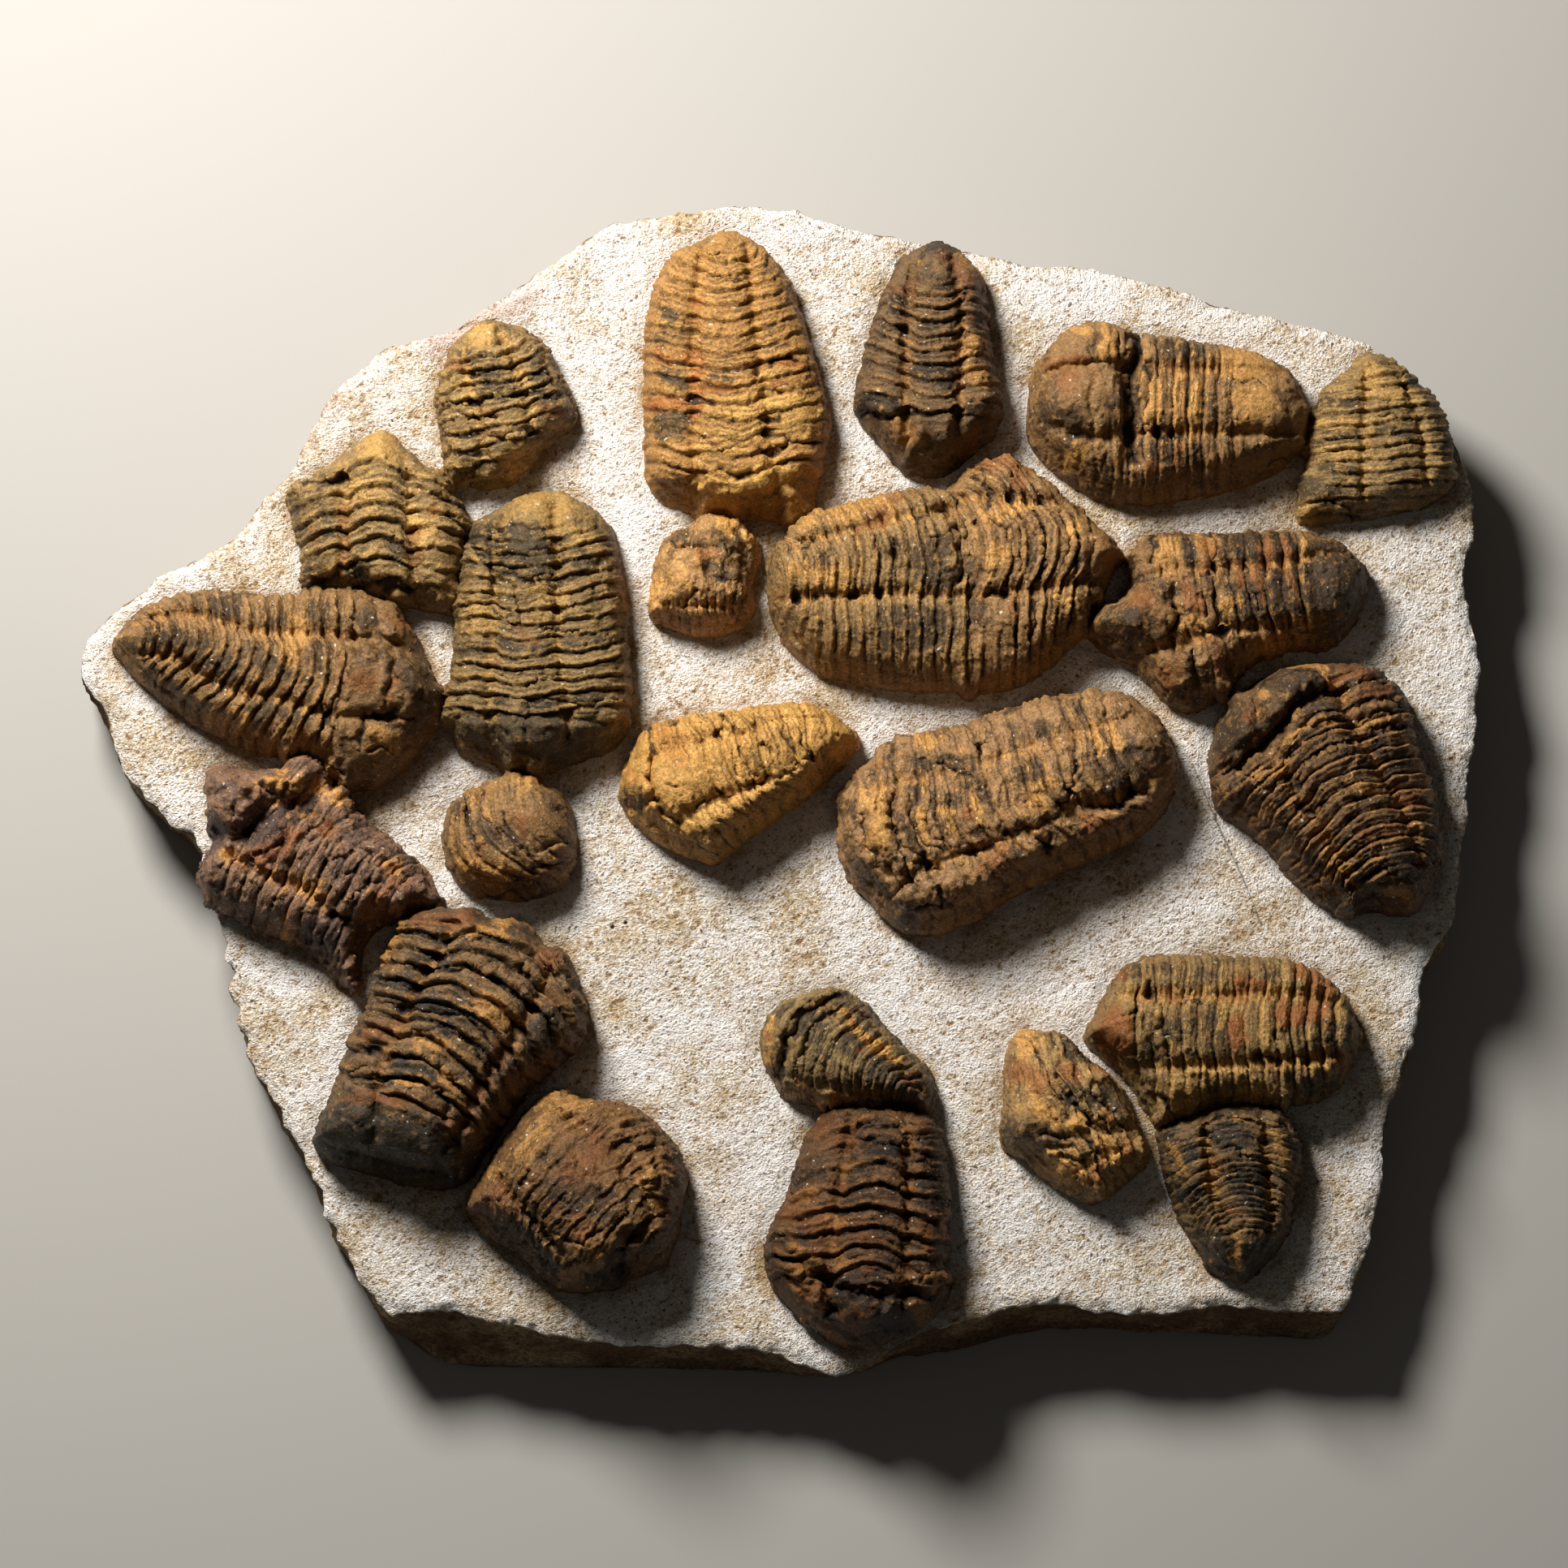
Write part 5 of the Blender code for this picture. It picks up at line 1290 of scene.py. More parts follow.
trilobite(
    "trilobite_12_pair_left", "brown_fossil",
    {**BROWN, "shell": "8E6F43", "rust_share": 0.3, "patina_share": 0.35},
    spine=(140.5, 162.5, 155, 164.5, 168, 166, 181, 167),
    furrows=((144, 157, 148, 158, 164, 158.6, 181, 158.4),
             (145, 169, 150, 169.6, 160, 172, 172, 175, 181, 176.5)),
    rings={"Ring Spacing": 3.1, "Ring Relief": 1.2, "Gap Depth": 0.6, "Raggedness": 3, "Laminae": 0.3,
           "Furrow Depth": 1.1},
    bow=1.2, sweep=(1.2, 2.2), tail_to=4, crowding=0.1, joined=(182, 178, 182, 145),
    pit=[((166.8, 166.6, 167.6, 166.4), 0.8, 1.8), ((146.3, 168),), ((144, 165.4),),
        ((163.6, 158.8), 0.7, 1.3), ((177.4, 175.8), 1.3, 1.8)],
    crack=[((159.8, 170.6, 160.1, 164, 159.9, 158.6), 0.35, 1.2),
        ((163.4, 171, 164.1, 166, 163.6, 159), 0.3), ((149.2, 169.2, 149.6, 163), 0.3),
        ((167.6, 169, 168.4, 164, 168, 160), 0.35), ((168, 168.2, 170.6, 167), 0.35),
        ((149.4, 168, 151, 169.2), 0.35), ((171.5, 174, 174, 174.4, 174.6, 171.6), 0.35),
        ((174.4, 170.2, 176.6, 170.2), 0.3), ((180.2, 172, 181.5, 169, 181.7, 165, 180.8, 161.4), 0.8, 2.6),
        ((147.8, 158.6, 147.9, 157), 0.5, 1.4), ((151.4, 158.8, 151.5, 157.4), 0.5, 1.4),
        ((154, 159.4, 154.1, 157.8), 0.4, 1.2), ((157.5, 158.4, 160.5, 158.2), 0.5, 1.3)],
    rubble=[((177, 172, 178, 155), 3.2), ((178, 165), 3, 0.3)],
    dark=[((153.5, 165), 1.7), ((174, 164, 178, 162), 3, 0.5), ((168, 154, 174, 153), 3),
        ((165, 149, 176, 149), 2), ((177, 168), 2.4)],
    ochre=[((148, 163, 158, 162), 2.6, 0.25), ((150, 174, 166, 178), 2.4, 0.25)],
    rust=[((161, 174, 170, 179), 2.2, 0.2), ((163, 172.6, 166, 173.6), 1, 0.35), ((144, 160), 2, 0.2)],
)
trilobite(
    "trilobite_13_pair_right", "brown_fossil", {**BROWN, "rust_share": 0.55, "patina_share": 0.35},
    spine=(182, 167.5, 198, 168.5, 214, 167.5),
    furrows=((184, 158.5, 194, 159.5, 206, 160.8),
             (184, 179, 194, 177.5, 205, 177.6)),
    rings={"Ring Spacing": 3.5, "Ring Relief": 1.4, "Gap Depth": 0.6, "Laminae": 0.35, "Raggedness": 3.2,
           "Furrow Depth": 1.2},
    bow=3.4, sweep=(0.8, 3.4), tail_to=0, crowding=0.1, joined=(182, 178, 182, 145),
    pit=[((183.5, 182.4, 183.9, 181.8), 0.9, 2), ((183.4, 172.6),), ((197, 177.4), 0.5, 1)],
    crack=[((185.5, 185.5, 187.2, 180, 186.6, 176.2), 0.4, 1.1),
        ((189.8, 186, 191.8, 181, 191.5, 178), 0.4, 1.1), ((186.6, 158.6, 190, 158.4), 0.7, 1.6),
        ((187, 174.4, 190.6, 171, 191.6, 165, 190.6, 159.6), 0.4, 1.2),
        ((190.8, 175, 193, 170, 193, 163.5), 0.3), ((196, 175, 198, 169, 197.4, 162), 0.4, 1.1),
        ((200.6, 175.4, 202.8, 170, 202.2, 164), 0.4, 1.2), ((203.4, 175, 205.2, 169.6, 204.4, 163), 0.35),
        ((192.4, 157, 193, 152, 191.4, 148.4), 0.5, 1.3), ((196.2, 157, 196.3, 152, 195, 148.4), 0.4, 1.1),
        ((200, 158.6, 200, 150),), ((203.4, 158.6, 202.8, 150.6),)],
    groove=[((205.6, 175.5, 207.6, 169, 206.6, 162),)],
    lump=[((210, 168), 4.5, 0.9), ((189, 153), 3.2)],
    rubble=[((184, 165, 184, 152), 3)],
    worn=[((211, 168),)],
    dark=[((183, 164, 184, 155), 2.2, 0.35), ((192, 180), 1.8, 0.25), ((196, 170, 195, 164), 1.4, 0.25),
        ((187, 159, 196, 160), 1.6, 0.5), ((205, 156), 2.2, 0.3), ((209, 160), 2.6, 0.5)],
    ochre=[((187, 174.6, 193, 176.4),), ((188, 166), 2.6, 0.4), ((204, 172), 1.8, 0.35),
        ((203, 157), 2, 0.3)],
    rust=[((192, 183.5, 193, 181), 1.1, 0.5), ((191.4, 155), 1.6, 0.45), ((211, 168), 3.5, 0.2),
        ((186, 186, 194, 186), 2.5)],
)

# The four at the right
# Two whole animals with their heads to the left, a tail with its last rings only, and an arched
# one that iron has stained nearly black. Flakes of the shell have come off over their backs.
trilobite(
    "trilobite_14_upper_right", "brown_fossil", {**BROWN, "tone": 0.95, "patina": "45341F"},
    spine=(252, 198, 225, 198.6, 195.5, 198.5),
    furrows=((246, 205, 215, 205.2),
             (246, 192.2, 215, 192)),
    rings={"Ring Spacing": 3.3, "Ring Relief": 1.5, "Laminae": 0.35, "Raggedness": 3}, bow=0.4,
    sweep=(0.3, 0.3), tail_to=14, crowding=0.1,
    pit=[((208, 190.6), 0.8, 1.3), ((203, 182.6),)],
    crack=[((217.4, 213, 216, 205, 216, 198, 216.4, 186), 1.9, 1.8),
        ((219.4, 206, 219.2, 198, 218.6, 187), 0.7, 1.4), ((220.6, 193.6, 223, 191), 0.8, 1.3),
        ((224.6, 191.8, 226, 191), 0.8, 1.5),
        ((237.4, 202.8, 239, 201.8, 241, 202.6, 243.6, 201.4), 0.3, 0.6), ((244, 186, 247.4, 187.4), 0.35)],
    groove=[((197, 203.6, 203, 205.8, 208, 206.4, 214, 205.4), 0.9, 1.5),
        ((198, 194.4, 204, 191.6, 209, 191, 213, 191.6), 0.9, 1.5),
        ((209.8, 204, 207.6, 199, 208.6, 193), 0.7, 0.8), ((213.4, 204, 212, 199, 213, 193), 0.6, 0.6),
        ((217.8, 213, 216, 206, 216, 198, 216.4, 188), 1.7, 3.8), ((213.6, 215, 213.2, 206.4), 0.7),
        ((210.6, 190.6, 210.4, 183), 0.6, 0.7), ((214, 190.4, 213.6, 183), 0.7, 0.9),
        ((236, 191.4, 249, 192.4), 0.9, 0.9)],
    lump=[((205, 198.5), 7.5, 2.4), ((206, 211), 5), ((242, 197), 5, 0.7)],
    ridge=[((211.2, 214.4, 211, 206.6), 1.1, 1), ((215.6, 213.6, 215, 207), 0.8, 0.8)],
    rubble=[((204.5, 187.6), 2.2, 0.6), ((228, 184.6, 221, 183), 3, 0.25)],
    worn=[((205, 198.5), 9), ((204, 210), 7.5), ((205, 188), 6, 0.9), ((241, 206.6),),
        ((241, 199), 6, 0.9)],
    dark=[((204, 191),), ((212, 198), 2.5, 0.25), ((222, 188),), ((232, 198), 1.5),
        ((223, 209, 228, 209), 2.5), ((199, 196, 206, 193),), ((222, 199), 0.9, 0.5), ((230, 186), 2)],
    ochre=[((211.2, 213.6, 211, 207), 1.1, 0.6), ((206, 213.6),), ((204.5, 187.6), 2.2),
        ((220.4, 202, 220.6, 195), 1.2), ((225.2, 203, 225.4, 193), 1.1, 0.6), ((230, 201, 229, 194), 0.9),
        ((240, 206.8), 4.4, 0.6), ((241, 198), 4.4, 0.4)],
    rust=[((225.8, 189, 225.4, 185), 1, 0.6), ((220.6, 184.6), 1.5, 0.5), ((213, 186), 0.9, 0.5),
        ((206, 207, 200, 206), 1.5, 0.4), ((202, 202), 3, 0.25)],
)
trilobite(
    "trilobite_15_tail_far_right", "brown_fossil", {**OLIVE, "tone": 0.95, "ochre_share": 0.6},
    spine=(267.5, 209.5, 269, 195, 270.5, 176.5),
    furrows=((264.6, 206, 264, 195, 263.6, 180),
             (272, 203, 275, 195, 277, 182)),
    rings={"Ring Spacing": 2.5, "Ring Relief": 1.3, "Gap Depth": 0.7, "Raggedness": 2.4, "Laminae": 0.3,
           "Furrow Depth": 0.9, "Furrow Width": 1},
    bow=0.2, sweep=(0.2, 0.4), tail_to=1, crowding=0,
    crack=[((256, 178.6, 260, 177.1, 264, 176.6), 0.35), ((271, 202.6, 274, 201.6), 0.35),
        ((267, 196.2, 271, 195.2, 274, 195.8), 0.3)],
    groove=[((252, 177.6, 256, 178.8, 260, 177.2, 266, 176.6), 0.6), ((254, 175.4, 258, 174.6), 0.5, 0.8)],
    lump=[((253, 181), 2.4, 0.9), ((268.6, 180.4), 1.6, 0.7)],
    ridge=[((267, 199.6, 270, 198.8, 273, 199.8), 0.5, 0.6)],
    dark=[((256, 199, 262, 198.6), 1.1, 0.5), ((257, 192, 263, 191.8), 1, 0.5),
        ((256, 185, 262, 184.6), 0.9, 0.6), ((267, 193, 273, 191.6), 1),
        ((278, 189.6, 282, 190.6), 0.9, 0.5), ((253, 181.6), 2, 0.5), ((257, 179.6), 1.2, 0.5),
        ((272, 204, 276, 202), 1)],
    ochre=[((268, 199.6, 272, 199.6), 1.1), ((255, 194.6, 262, 194.2), 0.8), ((256, 189, 262, 188.6), 0.8),
        ((266, 203), 2.2, 0.35), ((253, 176), 1.5, 0.4)],
    rust=[((274, 183, 276, 181),)],
)
trilobite(
    "trilobite_16_middle_right", "brown_fossil",
    {**BROWN, "tone": 1.0, "patina": "35291C", "patina_share": 0.5},
    spine=(264.5, 160.5, 245, 158.5, 225, 155.5, 209, 153.5),
    furrows=((260, 154, 245, 151.8, 235, 151.4, 222, 148),
             (260, 168, 245, 165, 235, 164.2, 222, 163)),
    rings={"Ring Spacing": 3.7, "Ring Relief": 1.6, "Gap Depth": 1.4, "Raggedness": 3.6,
           "Furrow Depth": 1.3},
    bow=0.6, sweep=(0.4, 0.3), tail_to=12, crowding=0.1,
    pit=[((230.6, 162.6, 231.6, 162.4), 0.7, 1.5), ((226.8, 161.8),)],
    crack=[((224.7, 157, 225, 154, 224.5, 151), 0.7), ((220.8, 172, 220.6, 165.2), 0.6, 1.8),
        ((233, 172, 233.2, 164.4), 0.55, 1.8), ((232, 159.6, 233.6, 155, 235, 152), 0.5, 1.5),
        ((229.6, 159, 231, 154.4), 0.45, 1.2), ((229, 151.6, 235, 150.6), 0.5, 1.1),
        ((236, 141, 240, 142), 0.7, 1.2), ((240, 164, 241, 156), 0.35), ((221, 142.8, 226, 138), 0.3, 0.5)],
    groove=[((213, 160.6, 218, 161.6, 223, 161.4), 1), ((224.6, 160, 225, 155, 224.4, 150), 1.1, 2),
        ((216, 147.4, 222, 147.6, 227, 148.4), 1, 1.8), ((229, 146, 229, 139), 0.9, 1.4),
        ((255, 170, 261, 166.6), 0.6, 0.6)],
    lump=[((216, 154.5), 6.6, 2.4), ((224.5, 141), 4.8, 1.4)],
    rubble=[((227, 161, 229, 155), 3, 0.6), ((233, 147, 240, 148), 3.2, 0.4), ((234, 142), 3, 0.6)],
    worn=[((216, 155), 8), ((217, 166), 4.5), ((224, 141),), ((258, 160), 5, 0.9)],
    dark=[((238, 167, 262, 164), 4, 0.5), ((240, 158, 258, 157), 4, 0.5), ((228, 167), 1.8, 0.5),
        ((239, 170, 248, 169), 2.2, 0.3), ((255, 160, 260, 164), 3.5), ((222.6, 158), 1.6, 0.5),
        ((228, 144), 1.6, 0.5), ((216, 151), 3.5, 0.25)],
    ochre=[((224, 168, 223, 165), 2, 0.4), ((251, 153), 1, 0.6), ((236, 157, 235, 153), 1),
        ((228, 152), 2.2, 0.4), ((230, 171.4, 231.6, 167), 0.8), ((250.8, 171, 251, 166), 0.5),
        ((244, 149), 2.4, 0.35)],
    rust=[((227, 160, 229, 156), 1.8, 0.5), ((231, 169, 231.4, 164), 1, 0.6), ((218, 157), 3, 0.4),
        ((241.4, 164, 243, 157), 0.7, 0.6), ((243.4, 170, 243.4, 165), 0.8, 0.5),
        ((247.4, 163, 249.6, 156.6), 0.8, 0.6), ((238, 163.6, 238.4, 160), 0.8, 0.5),
        ((247, 170, 247.6, 166), 0.7, 0.5), ((246, 151.4), 2, 0.4), ((234, 146), 2.4, 0.4),
        ((224, 143), 3)],
)
trilobite(
    "trilobite_17_dark_right", "dark_fossil",
    {**DARK, "shell": "684C2E", "tone": 1.05, "rust_share": 0.5, "ochre_share": 0.5},
    spine=(269, 95, 264, 108, 258.5, 119, 252, 131, 244, 143),
    furrows=((261, 97, 255.5, 107, 251.5, 114, 246.5, 122, 241, 131),
             (275, 102, 271, 113, 266, 122, 260.5, 131, 257.5, 140)),
    rings={"Ring Spacing": 3.3, "Ring Relief": 2, "Gap Depth": 1.5, "Laminae": 0.55, "Raggedness": 3.4},
    bow=2.2, sweep=(2.6, 2), neck=44.5, tail_to=3, crowding=0.15,
    pit=[((267.8, 101.8), 0.7, 1.3)],
    crack=[((236, 123.4, 240, 125.8, 244.4, 129, 247, 133, 250.4, 136.6, 254, 138.6, 257.4, 138.2), 1.1,
         0.8), ((241.4, 138.6, 245, 141.6, 250, 142.6, 255, 141), 0.3, 0.7),
        ((262, 140.3, 269.5, 140.6), 0.4, 1.1),
        ((259.6, 135.4, 264, 136.2, 269, 137.4, 272, 135.6), 0.6, 1.6),
        ((262, 132.8, 266, 134.5, 270, 134), 0.45, 1.2), ((263.6, 130.2, 268, 131.8, 272, 131.4), 0.5, 1.3),
        ((248.4, 120.6, 252, 124, 256, 126.9, 260, 127.8), 0.4, 1.2),
        ((247, 123.6, 251, 127.4, 256, 129.8), 0.35), ((250.6, 130.6, 255, 133, 259, 132.8), 0.3),
        ((242, 119, 247, 120.4, 250, 119.4), 0.5, 1.2), ((236.4, 122, 236.6, 117.6),),
        ((238.6, 122, 238.4, 117),), ((240, 121.6, 244, 123), 0.45),
        ((248, 116.4, 252, 113.4, 254.6, 115.6), 0.5, 1.2), ((260.6, 116, 263.6, 117.4), 0.5, 1.2),
        ((254, 100.6, 257, 104, 260, 105.4),), ((251, 101, 253.6, 103.6),), ((261, 99.6, 266, 102.4), 0.5)],
    groove=[((235, 122.6, 240, 125.4, 244, 128, 246.6, 132.4, 250, 136.2, 254, 138.4, 258, 138), 1.7, 3.6),
        ((240.6, 140, 241, 135, 243, 132.4), 0.6, 1), ((257.6, 145, 257, 140),),
        ((257.5, 99, 264, 97.6, 270, 98), 0.7, 1.1)],
    lump=[((238.5, 131), 4.6, 1.4), ((270, 103.4), 3, 0.8)],
    ridge=[((246, 126.6, 247.6, 131, 251.4, 134, 256, 134.6, 259.4, 133), 0.8, 1.2)],
    worn=[((244, 139, 250, 142), 4), ((238, 130),)],
    dark=[((238, 130), 4), ((252, 138), 4, 0.6), ((270, 103), 3), ((264, 125, 270, 124), 2.6),
        ((262, 95), 5, 0.5), ((266, 143), 3, 0.3)],
    ochre=[((248, 144.6, 254, 143.6, 257, 140.6), 0.8), ((242.6, 137.8), 1, 0.6), ((241.4, 134), 0.8),
        ((247, 128, 251, 131.6, 256, 132), 0.8, 0.45), ((241, 121.6, 246, 122.8), 1, 0.45),
        ((261, 119, 264, 118.4), 1.2, 0.4), ((243, 115, 241.4, 113), 1, 0.4),
        ((256, 104, 255, 101), 1.2, 0.4), ((271, 128.8, 274, 124, 276, 118), 1),
        ((262, 131.8, 268, 133.4), 0.7, 0.4), ((268, 98, 272, 98), 1, 0.4)],
    rust=[((239, 132.8), 1.4, 0.5), ((259, 142, 264, 142), 1.4, 0.6), ((262, 138, 267, 138.4), 1.3, 0.4),
        ((262, 108, 268, 110), 1.6, 0.4), ((270, 117, 274, 115), 2), ((274, 126, 275, 120), 1.6, 0.4)],
)

# The two in the middle
# A small animal that iron earth has turned yellow ochre, and the largest one of all. The film of
# shell is worn through where the rings stand highest.
trilobite(
    "trilobite_18_ochre_middle", "ochre_fossil",
    {**OCHRE, "shell": "B98B48", "patina": "74582F", "ochre": "C99A54", "rust": "B07A3A", "tone": 1.04},
    spine=(160.5, 129, 150, 128.6, 138, 125, 124, 120, 112, 118),
    furrows=((157, 127, 149, 123.6, 140, 119.6, 132, 116.6, 124, 112),
             (156, 133, 145, 133, 138, 130, 130, 128.6, 120, 126)),
    rings={"Ring Spacing": 3.7, "Ring Relief": 1.4, "Gap Depth": 0.2, "Raggedness": 4.6,
           "Furrow Depth": 0.35},
    bow=0.4, sweep=(3.6, -0.6), tail_to=6, crowding=0.1,
    pit=[((115.4, 113.6), 0.6), ((118.7, 112.8), 0.4), ((128.4, 132.6),), ((120.6, 128), 0.45, 0.9),
        ((128.8, 127.8), 0.4), ((141, 127.2, 142, 126), 0.6, 1.6), ((149, 135),), ((147.2, 136.6), 0.4),
        ((156.3, 129.6), 0.6), ((136.9, 112), 0.7, 1)],
    crack=[((118, 132, 118, 128, 119, 125.6), 0.45, 1.4),
        ((118.4, 124.6, 117.5, 120.4, 118.8, 116.4, 121.6, 113.4, 123.8, 111.8), 0.45, 0.8),
        ((127, 115.2, 130, 116.8, 132.6, 117.4), 0.4, 0.4),
        ((132.4, 134.6, 132.2, 131, 131, 129.4), 0.55, 1.5), ((134.6, 134, 134.6, 131.4),),
        ((138.6, 134.2, 139.4, 131.6), 0.5, 1.2), ((122, 131.6, 123.6, 133), 0.35),
        ((135.6, 127, 137, 123.4, 139.6, 120.8), 0.3), ((134, 126, 135.4, 121.6, 137.6, 119.6), 0.3),
        ((136.6, 118.8, 139.4, 119, 142.4, 121.2), 0.45, 0.8), ((122, 118.8, 123.4, 118.8), 0.3, 0.6),
        ((145, 131.6, 145, 128.4, 148, 124.8), 0.35), ((148, 131.6, 148.4, 128, 151, 125), 0.35),
        ((147, 123, 151, 124.6), 0.35, 0.7), ((126.4, 109.4, 128, 107, 131.6, 106),),
        ((131, 110.4, 134.4, 108.6), 0.5), ((133, 112.4, 136, 110.6), 0.3)],
    groove=[((118.6, 124.8, 117.4, 120.6, 118.6, 116.6, 121.4, 113.6, 123.6, 112), 0.7, 1.8),
        ((125, 114, 128.6, 116, 132, 117.4), 1.2, 0.7), ((114, 116.6, 117.6, 116), 1.2, 2),
        ((112.6, 122.4, 115, 125), 0.6, 0.7)],
    lump=[((124, 120), 6)],
    ridge=[((125, 108.6, 135, 113.6, 146, 119.4, 154, 124.8), 2.4, 1.3),
        ((112.4, 120.6, 114.6, 123.4, 117.6, 125.4), 0.7)],
    rubble=[((115.5, 113), 2.2, 0.6), ((153, 131, 154, 128), 2, 0.4), ((141, 131, 142, 127.5), 1.8, 0.4),
        ((146, 118, 143, 121), 2.6, 0.3), ((131, 107.6),)],
    worn=[((122, 119.5), 5, 0.7), ((115, 124),), ((117, 111.5),)],
    dark=[((139.4, 125, 139, 122), 1.4, 0.3), ((155, 124), 2.6, 0.3),
        ((111.6, 116.5, 113.4, 119.6), 1.2, 0.5), ((116, 116.6), 1.5, 0.5), ((122, 133), 1.5, 0.3)],
    ochre=[((127, 114, 136, 118.6, 146, 123),)],
    rust=[((121, 130, 123, 126), 2.6, 0.4), ((114, 121.6), 1.3, 0.5), ((134, 117.6), 1.2)],
)
trilobite(
    "trilobite_19_large_middle", "brown_fossil",
    {**BROWN, "shell": "94714A", "patina": "4B3A26", "tone": 1.03},
    spine=(224.5, 129, 208, 123.5, 195, 118, 180, 112.5, 168, 110.5, 156, 108),
    furrows=((219, 121, 212, 116, 204, 116, 197, 111.5, 188, 107.6, 179, 104.6, 171, 101.8),
             (217, 134, 205, 130, 192, 126, 180, 122, 168, 119.5)),
    rings={"Ring Spacing": 4, "Ring Relief": 1.4, "Gap Depth": 0.4, "Raggedness": 5, "Weathering": 2.2,
           "Laminae": 0.3, "Furrow Depth": 0.4},
    bow=1.6, sweep=(3.4, 0.6), tail_to=8, crowding=0.05,
    pit=[((198.4, 107.6, 198.7, 106.4), 1.3, 3), ((184.6, 126.4, 186, 127), 0.9, 2), ((167.6, 126.4), 0.6),
        ((172.8, 124.4), 0.6), ((193, 102), 0.6)],
    crack=[((160.7, 112, 161.4, 108, 164.4, 104), 0.4, 0.6),
        ((166.9, 116.6, 166.5, 111.6, 169.2, 106.6, 174, 103.3), 0.3, 0.6),
        ((170.6, 117, 171, 111.6, 174, 107, 177, 105.4), 0.35), ((174, 112, 176, 108.4, 178.6, 106.6), 0.3),
        ((172.6, 95, 176.6, 95.6), 0.8, 1.6), ((172.4, 103.4, 176, 102.4), 0.8, 1.6),
        ((180, 106, 186, 106.4, 190, 108), 0.4, 0.7), ((189.6, 109, 192.4, 110.6, 195.6, 111.4), 0.4, 0.8),
        ((203.6, 122.6, 203, 118, 200.6, 114.6), 0.6, 1.6), ((207, 115.2, 213, 115.8, 218, 119), 0.7, 1),
        ((182.4, 129, 184.6, 127.4),), ((176, 124, 179, 123.4, 182, 121.6, 183.4, 120),),
        ((177, 98, 176.6, 94.6),)],
    groove=[((160.6, 113, 161, 109, 163, 105, 167, 101.6), 0.9, 1.5),
        ((166.8, 117, 166.4, 111.6, 169, 106.6, 174, 103.4), 0.5),
        ((163, 99.8, 167, 98, 171, 99.6), 1.3, 2.4),
        ((203, 114.6, 208, 115.4, 213, 115.6, 218, 119.6), 1.8, 1.9)],
    lump=[((169, 93.5), 4.6), ((196, 104.6), 2.4, 1.2), ((217.4, 130), 4, 0.8)],
    ridge=[((164.4, 118, 163, 112.6, 165, 107, 170, 102.4), 1.9, 1.6),
        ((175, 97.4, 188, 101.4, 200, 106.4, 213, 113), 2.6, 1.3)],
    rubble=[((168, 96, 178, 97), 3), ((172, 126, 180, 125), 4), ((190, 112, 200, 113), 2.4),
        ((207, 112, 204, 108), 3, 0.6), ((183, 96), 3, 0.4)],
    worn=[((164, 112, 166, 106), 3, 0.9), ((158.6, 106), 4), ((168, 92), 4, 0.9),
        ((190, 131, 197, 133), 4.5, 0.7), ((217, 128), 5, 0.9)],
    dark=[((168.6, 112, 170.6, 108), 1, 0.5), ((179, 116, 178, 110), 1.3, 0.35), ((186, 116.6), 1.3, 0.5),
        ((172.6, 124.6), 1.4, 0.5), ((178, 125, 182, 122), 1.6, 0.35), ((192, 121, 196, 122.4), 1.4, 0.35),
        ((191.6, 135.6), 1.2, 0.5), ((197, 131.6), 1.6), ((205, 135), 1.4, 0.3),
        ((209.6, 128, 208.4, 131), 0.7, 0.6), ((192, 106), 1.4), ((212, 119, 217, 123), 3, 0.5),
        ((170, 93), 3, 0.35), ((158, 115), 2), ((171.4, 118.6), 1.2)],
    ochre=[((208, 129.6, 209.4, 125.6), 0.8, 0.8), ((211.6, 130.6, 212.8, 127.4), 0.8, 0.8),
        ((164, 116, 164, 108), 2, 0.4), ((172.6, 114, 174, 108), 0.9), ((177.6, 114, 179.6, 109), 0.9),
        ((183.4, 117, 184.6, 112), 0.9, 0.4), ((197, 119, 196, 115), 2, 0.3), ((174, 128.4), 2, 0.35)],
    rust=[((206, 112, 210, 111.6), 1.6, 0.6), ((182.6, 112.6), 1, 0.5), ((187, 107), 1.2, 0.4),
        ((164, 123.4),), ((212, 108), 1.4, 0.4), ((184, 102, 191, 106), 2.4, 0.2)],
)

